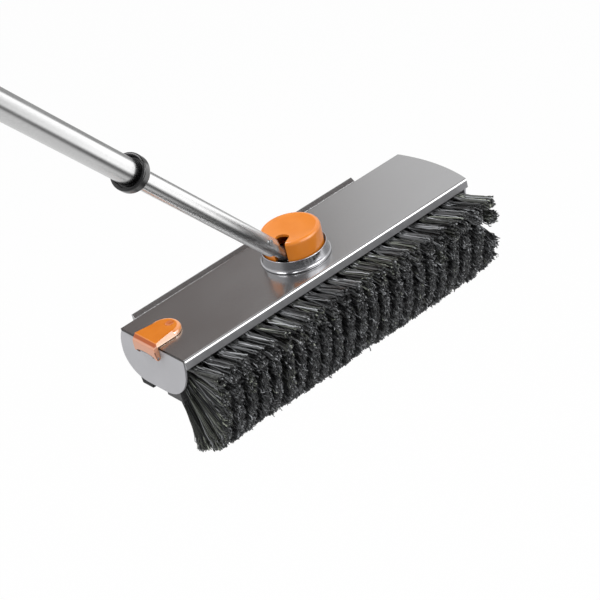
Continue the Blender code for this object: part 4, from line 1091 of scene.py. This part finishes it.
def makeRow(number, filament):
    s = bristleSet
    r = rowSet["other" if number else "top"]
    rng = np.random.default_rng(s["seed"] + number)
    shape, faces = filament
    angle = math.radians(s["rowAngles"][number])
    out = np.array((0, -math.cos(angle), -math.sin(angle)))
    up = np.array((0, -math.sin(angle), math.cos(angle)))     # across the row, square to the filaments
    wide = np.array((1.0, 0, 0))
    root = np.array((0, *s["roots"][number]))
    each = s["perTuft"][number]
    total = s["tufts"] * each
    tuft = np.repeat(np.arange(s["tufts"]), each)
    first, last = tuft == 0, tuft == s["tufts"] - 1
    middle = s["firstX"] + (s["lastX"] - s["firstX"]) / (s["tufts"] - 1) * tuft
    lean = np.zeros(s["tufts"])
    lean[-3:] = np.array(s["endShares"]) * s["endLean"][number]
    # where each filament stands in its tuft, on a rounded square
    across = rng.random(total) * 2 - 1
    deep = rng.random(total) * 2 - 1
    if r["skin"]:
        skin = rng.random(total) < r["skin"]
        deep[skin] = 1 - r["skinDeep"] * rng.random(skin.sum())
    deep = deep * np.sqrt(1 - r["corners"] * across ** 4)
    halfWide = s["halfWide"][number]
    skew = rng.normal(0, 1, (s["tufts"], 2))[tuft]
    base = root + wide * (middle + across * halfWide * r["rootWide"])[:, None] \
        + up * (deep * s["rootDeep"])[:, None] - out * s["rootSunk"]
    # where its tip is
    stray = rng.random(total) < s["strayShare"]
    swell, shift, single = s["sideScatter"]
    tipX = across * halfWide * (1 + swell * skew[:, 0]) + rng.normal(0, single, total) + skew[:, 1] * shift
    tipX = tipX + lean[tuft] * (1 + s["leanSpread"] * across) + stray * rng.normal(0, s["strayReach"], total)
    place = number + deep * s["tipShare"] + rng.normal(0, s["scatter"], total) + skew[:, 0] * s["scatter"]
    place[last] = number + s["endShift"][number] + deep[last] * s["lastShare"]
    place[first] = number + deep[first] * s["firstShare"][number]
    tip = np.zeros((total, 3))
    tip[:, 0] = middle + tipX
    tip[:, 1:] = tipLine(place)
    reach = tip - base
    long = np.linalg.norm(reach, axis=1)
    trim = rng.normal(0, r["lengths"], s["tufts"])[tuft] + rng.normal(0, s["trimScatter"], total)
    trim = trim - s["shortest"] * rng.random(total) ** 3 - np.abs(tipX - lean[tuft]) ** 2 * s["rounding"]
    trim = trim + stray * rng.random(total) * s["strayReach"]
    tip = tip + reach / long[:, None] * trim[:, None]
    # its line between them, waved and curled towards the tip
    levels = np.array(s["levels"])
    count = len(levels)
    centre = base[:, None, :] + (tip - base)[:, None, :] * levels[None, :, None]
    wave = s["wave"] * (levels > s["waveFrom"]) + s["crimp"][number] * rising(levels, *s["crimpSpan"])
    wave = rng.normal(0, 1, (total, count, 2)) * wave[None, :, None]
    curl = s["curl"][number]
    bend = rng.normal(0, curl * s["bendShare"], (total, 1, 2)) * rising(levels, *s["bendSpan"])[None, :, None]
    curl = rng.normal(0, curl, (total, 1, 2)) * rising(levels, *s["curlSpan"])[None, :, None] ** s["curlPower"]
    side = wave + curl + bend
    centre = centre + wide * side[..., :1] + up * side[..., 1:]
    level = np.searchsorted(levels, np.round(shape[:, 2], 5) - 0.0001)
    thick = s["thickness"] / 2 * (s["fat"][0] + s["fat"][1] * rng.random(total)) * r["thick"]
    spin = rng.random(total) * math.tau
    cosine, sine = np.cos(spin)[:, None], np.sin(spin)[:, None]
    localX = (shape[:, 0] * cosine - shape[:, 1] * sine) * thick[:, None]
    localY = (shape[:, 0] * sine + shape[:, 1] * cosine) * thick[:, None]
    points = centre[:, level, :] + wide * localX[..., None] + up * localY[..., None]
    mesh = fibreMesh(f"tufts{number + 1}", points.reshape(-1, 3), faces, total)
    # painted shade darkens the lower rows towards the root, painted light brightens the top row's root and the whole
    # first tuft, and the fibres are mottled near the tips
    colour = fibreColours(rng, total, tuft, number, r)
    start, rise, power = r["paint"]
    along = start + rise * levels ** power
    mottle = s["mottle"] * (rng.random((total, count)) - s["mottleMiddle"]) * (levels > s["mottleFrom"])
    mottle = 1 + mottle * r["mottle"]
    start, rise = fibrePaint["firstTuft"]
    along = np.where(first[:, None], start + rise * levels[None, :], along[None, :])
    paint = colour[:, None, :] * (along * mottle)[:, level, None]
    rgba = np.concatenate([paint, np.ones((*paint.shape[:2], 1))], 2).reshape(-1, 4)
    layer = mesh.color_attributes.new("fibreColour", "FLOAT_COLOR", "POINT")
    layer.data.foreach_set("color", rgba.astype(np.float32).ravel())
    mesh.shade_smooth()
    mesh.materials.append(fibreFinish)
    piece = bpy.data.objects.new(f"tufts{number + 1}", mesh)
    scene.collection.objects.link(piece)
    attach(piece, "cartridge")
    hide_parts(f"bristle_row_{number + 1}")


filament = makeFilament()
for number in range(6):
    makeRow(number, filament)
print("bristles set")


# Staves that hold the rows, and the grey bar under them

staveSet = {
    "centre": (0.002, -0.0015), "radii": (0.038, 0.0427),
    "edges": (8.5, 15.5, 24.5, 35.0, 47.0, 60.0), "seam": 0.25,   # round the curve, in degrees
    "fromX": -0.1439, "toX": 0.1496, "depth": 0.0038,
    "barFront": -0.0145, "barBack": 0.005, "barTop": -0.0407, "barBottom": -0.0497,
    "grooveInset": 0.0022, "grooveSlope": 0.0004, "grooveDeep": 0.0005,
}


def makeStave(number):
    # a strip of the housing's front curve, drawn out along the head and thickened inwards
    s = staveSet
    low, high = s["edges"][number] + s["seam"], s["edges"][number + 1] - s["seam"]
    deselectAll()
    bpy.ops.mesh.primitive_circle_add(vertices=720, radius=1, rotation=(0, math.pi / 2, 0))
    piece = named(f"stave{number + 1}")
    applyPlace()
    pick(piece, lambda point: not low <= math.degrees(math.atan2(-point.z, -point.y)) <= high)
    bpy.ops.mesh.delete(type="VERT")
    bpy.ops.mesh.select_all(action="SELECT")
    bpy.ops.transform.resize(value=(1, s["radii"][0], s["radii"][1]), center_override=(0, 0, 0))
    bpy.ops.transform.translate(value=(s["fromX"], s["centre"][0], s["centre"][1]))
    bpy.ops.mesh.extrude_edges_move(TRANSFORM_OT_translate={"value": (s["toX"] - s["fromX"], 0, 0)})
    turnOutwards()
    thicken(piece, s["depth"], -1 if piece.data.polygons[0].normal.y < 0 else 1)
    soften(piece, 0.0003, 2, 50)
    finishMesh(piece, 35, staveFinish, "cartridge", f"bristle_row_{number + 1}")


def makeBar():
    # the lowest row's bar, rounded, with a shallow groove along both sides
    s = staveSet
    piece = makeBox((s["fromX"], s["barFront"], s["barBottom"]), (s["toX"], s["barBack"], s["barTop"]), "rowBar")
    middle = (s["barFront"] + s["barBack"]) / 2
    pick(piece, lambda centre: abs(centre.y - middle) > 0.008, "FACE")
    bpy.ops.mesh.inset(thickness=s["grooveInset"], depth=0, use_individual=True)
    bpy.ops.mesh.inset(thickness=s["grooveSlope"], depth=-s["grooveDeep"], use_individual=True)
    objectMode()
    soften(piece, 0.0005, 3, 60)
    finishMesh(piece, 35, barFinish, "cartridge", "bristle_row_6")


for number in range(5):
    makeStave(number)
makeBar()
print("staves set")
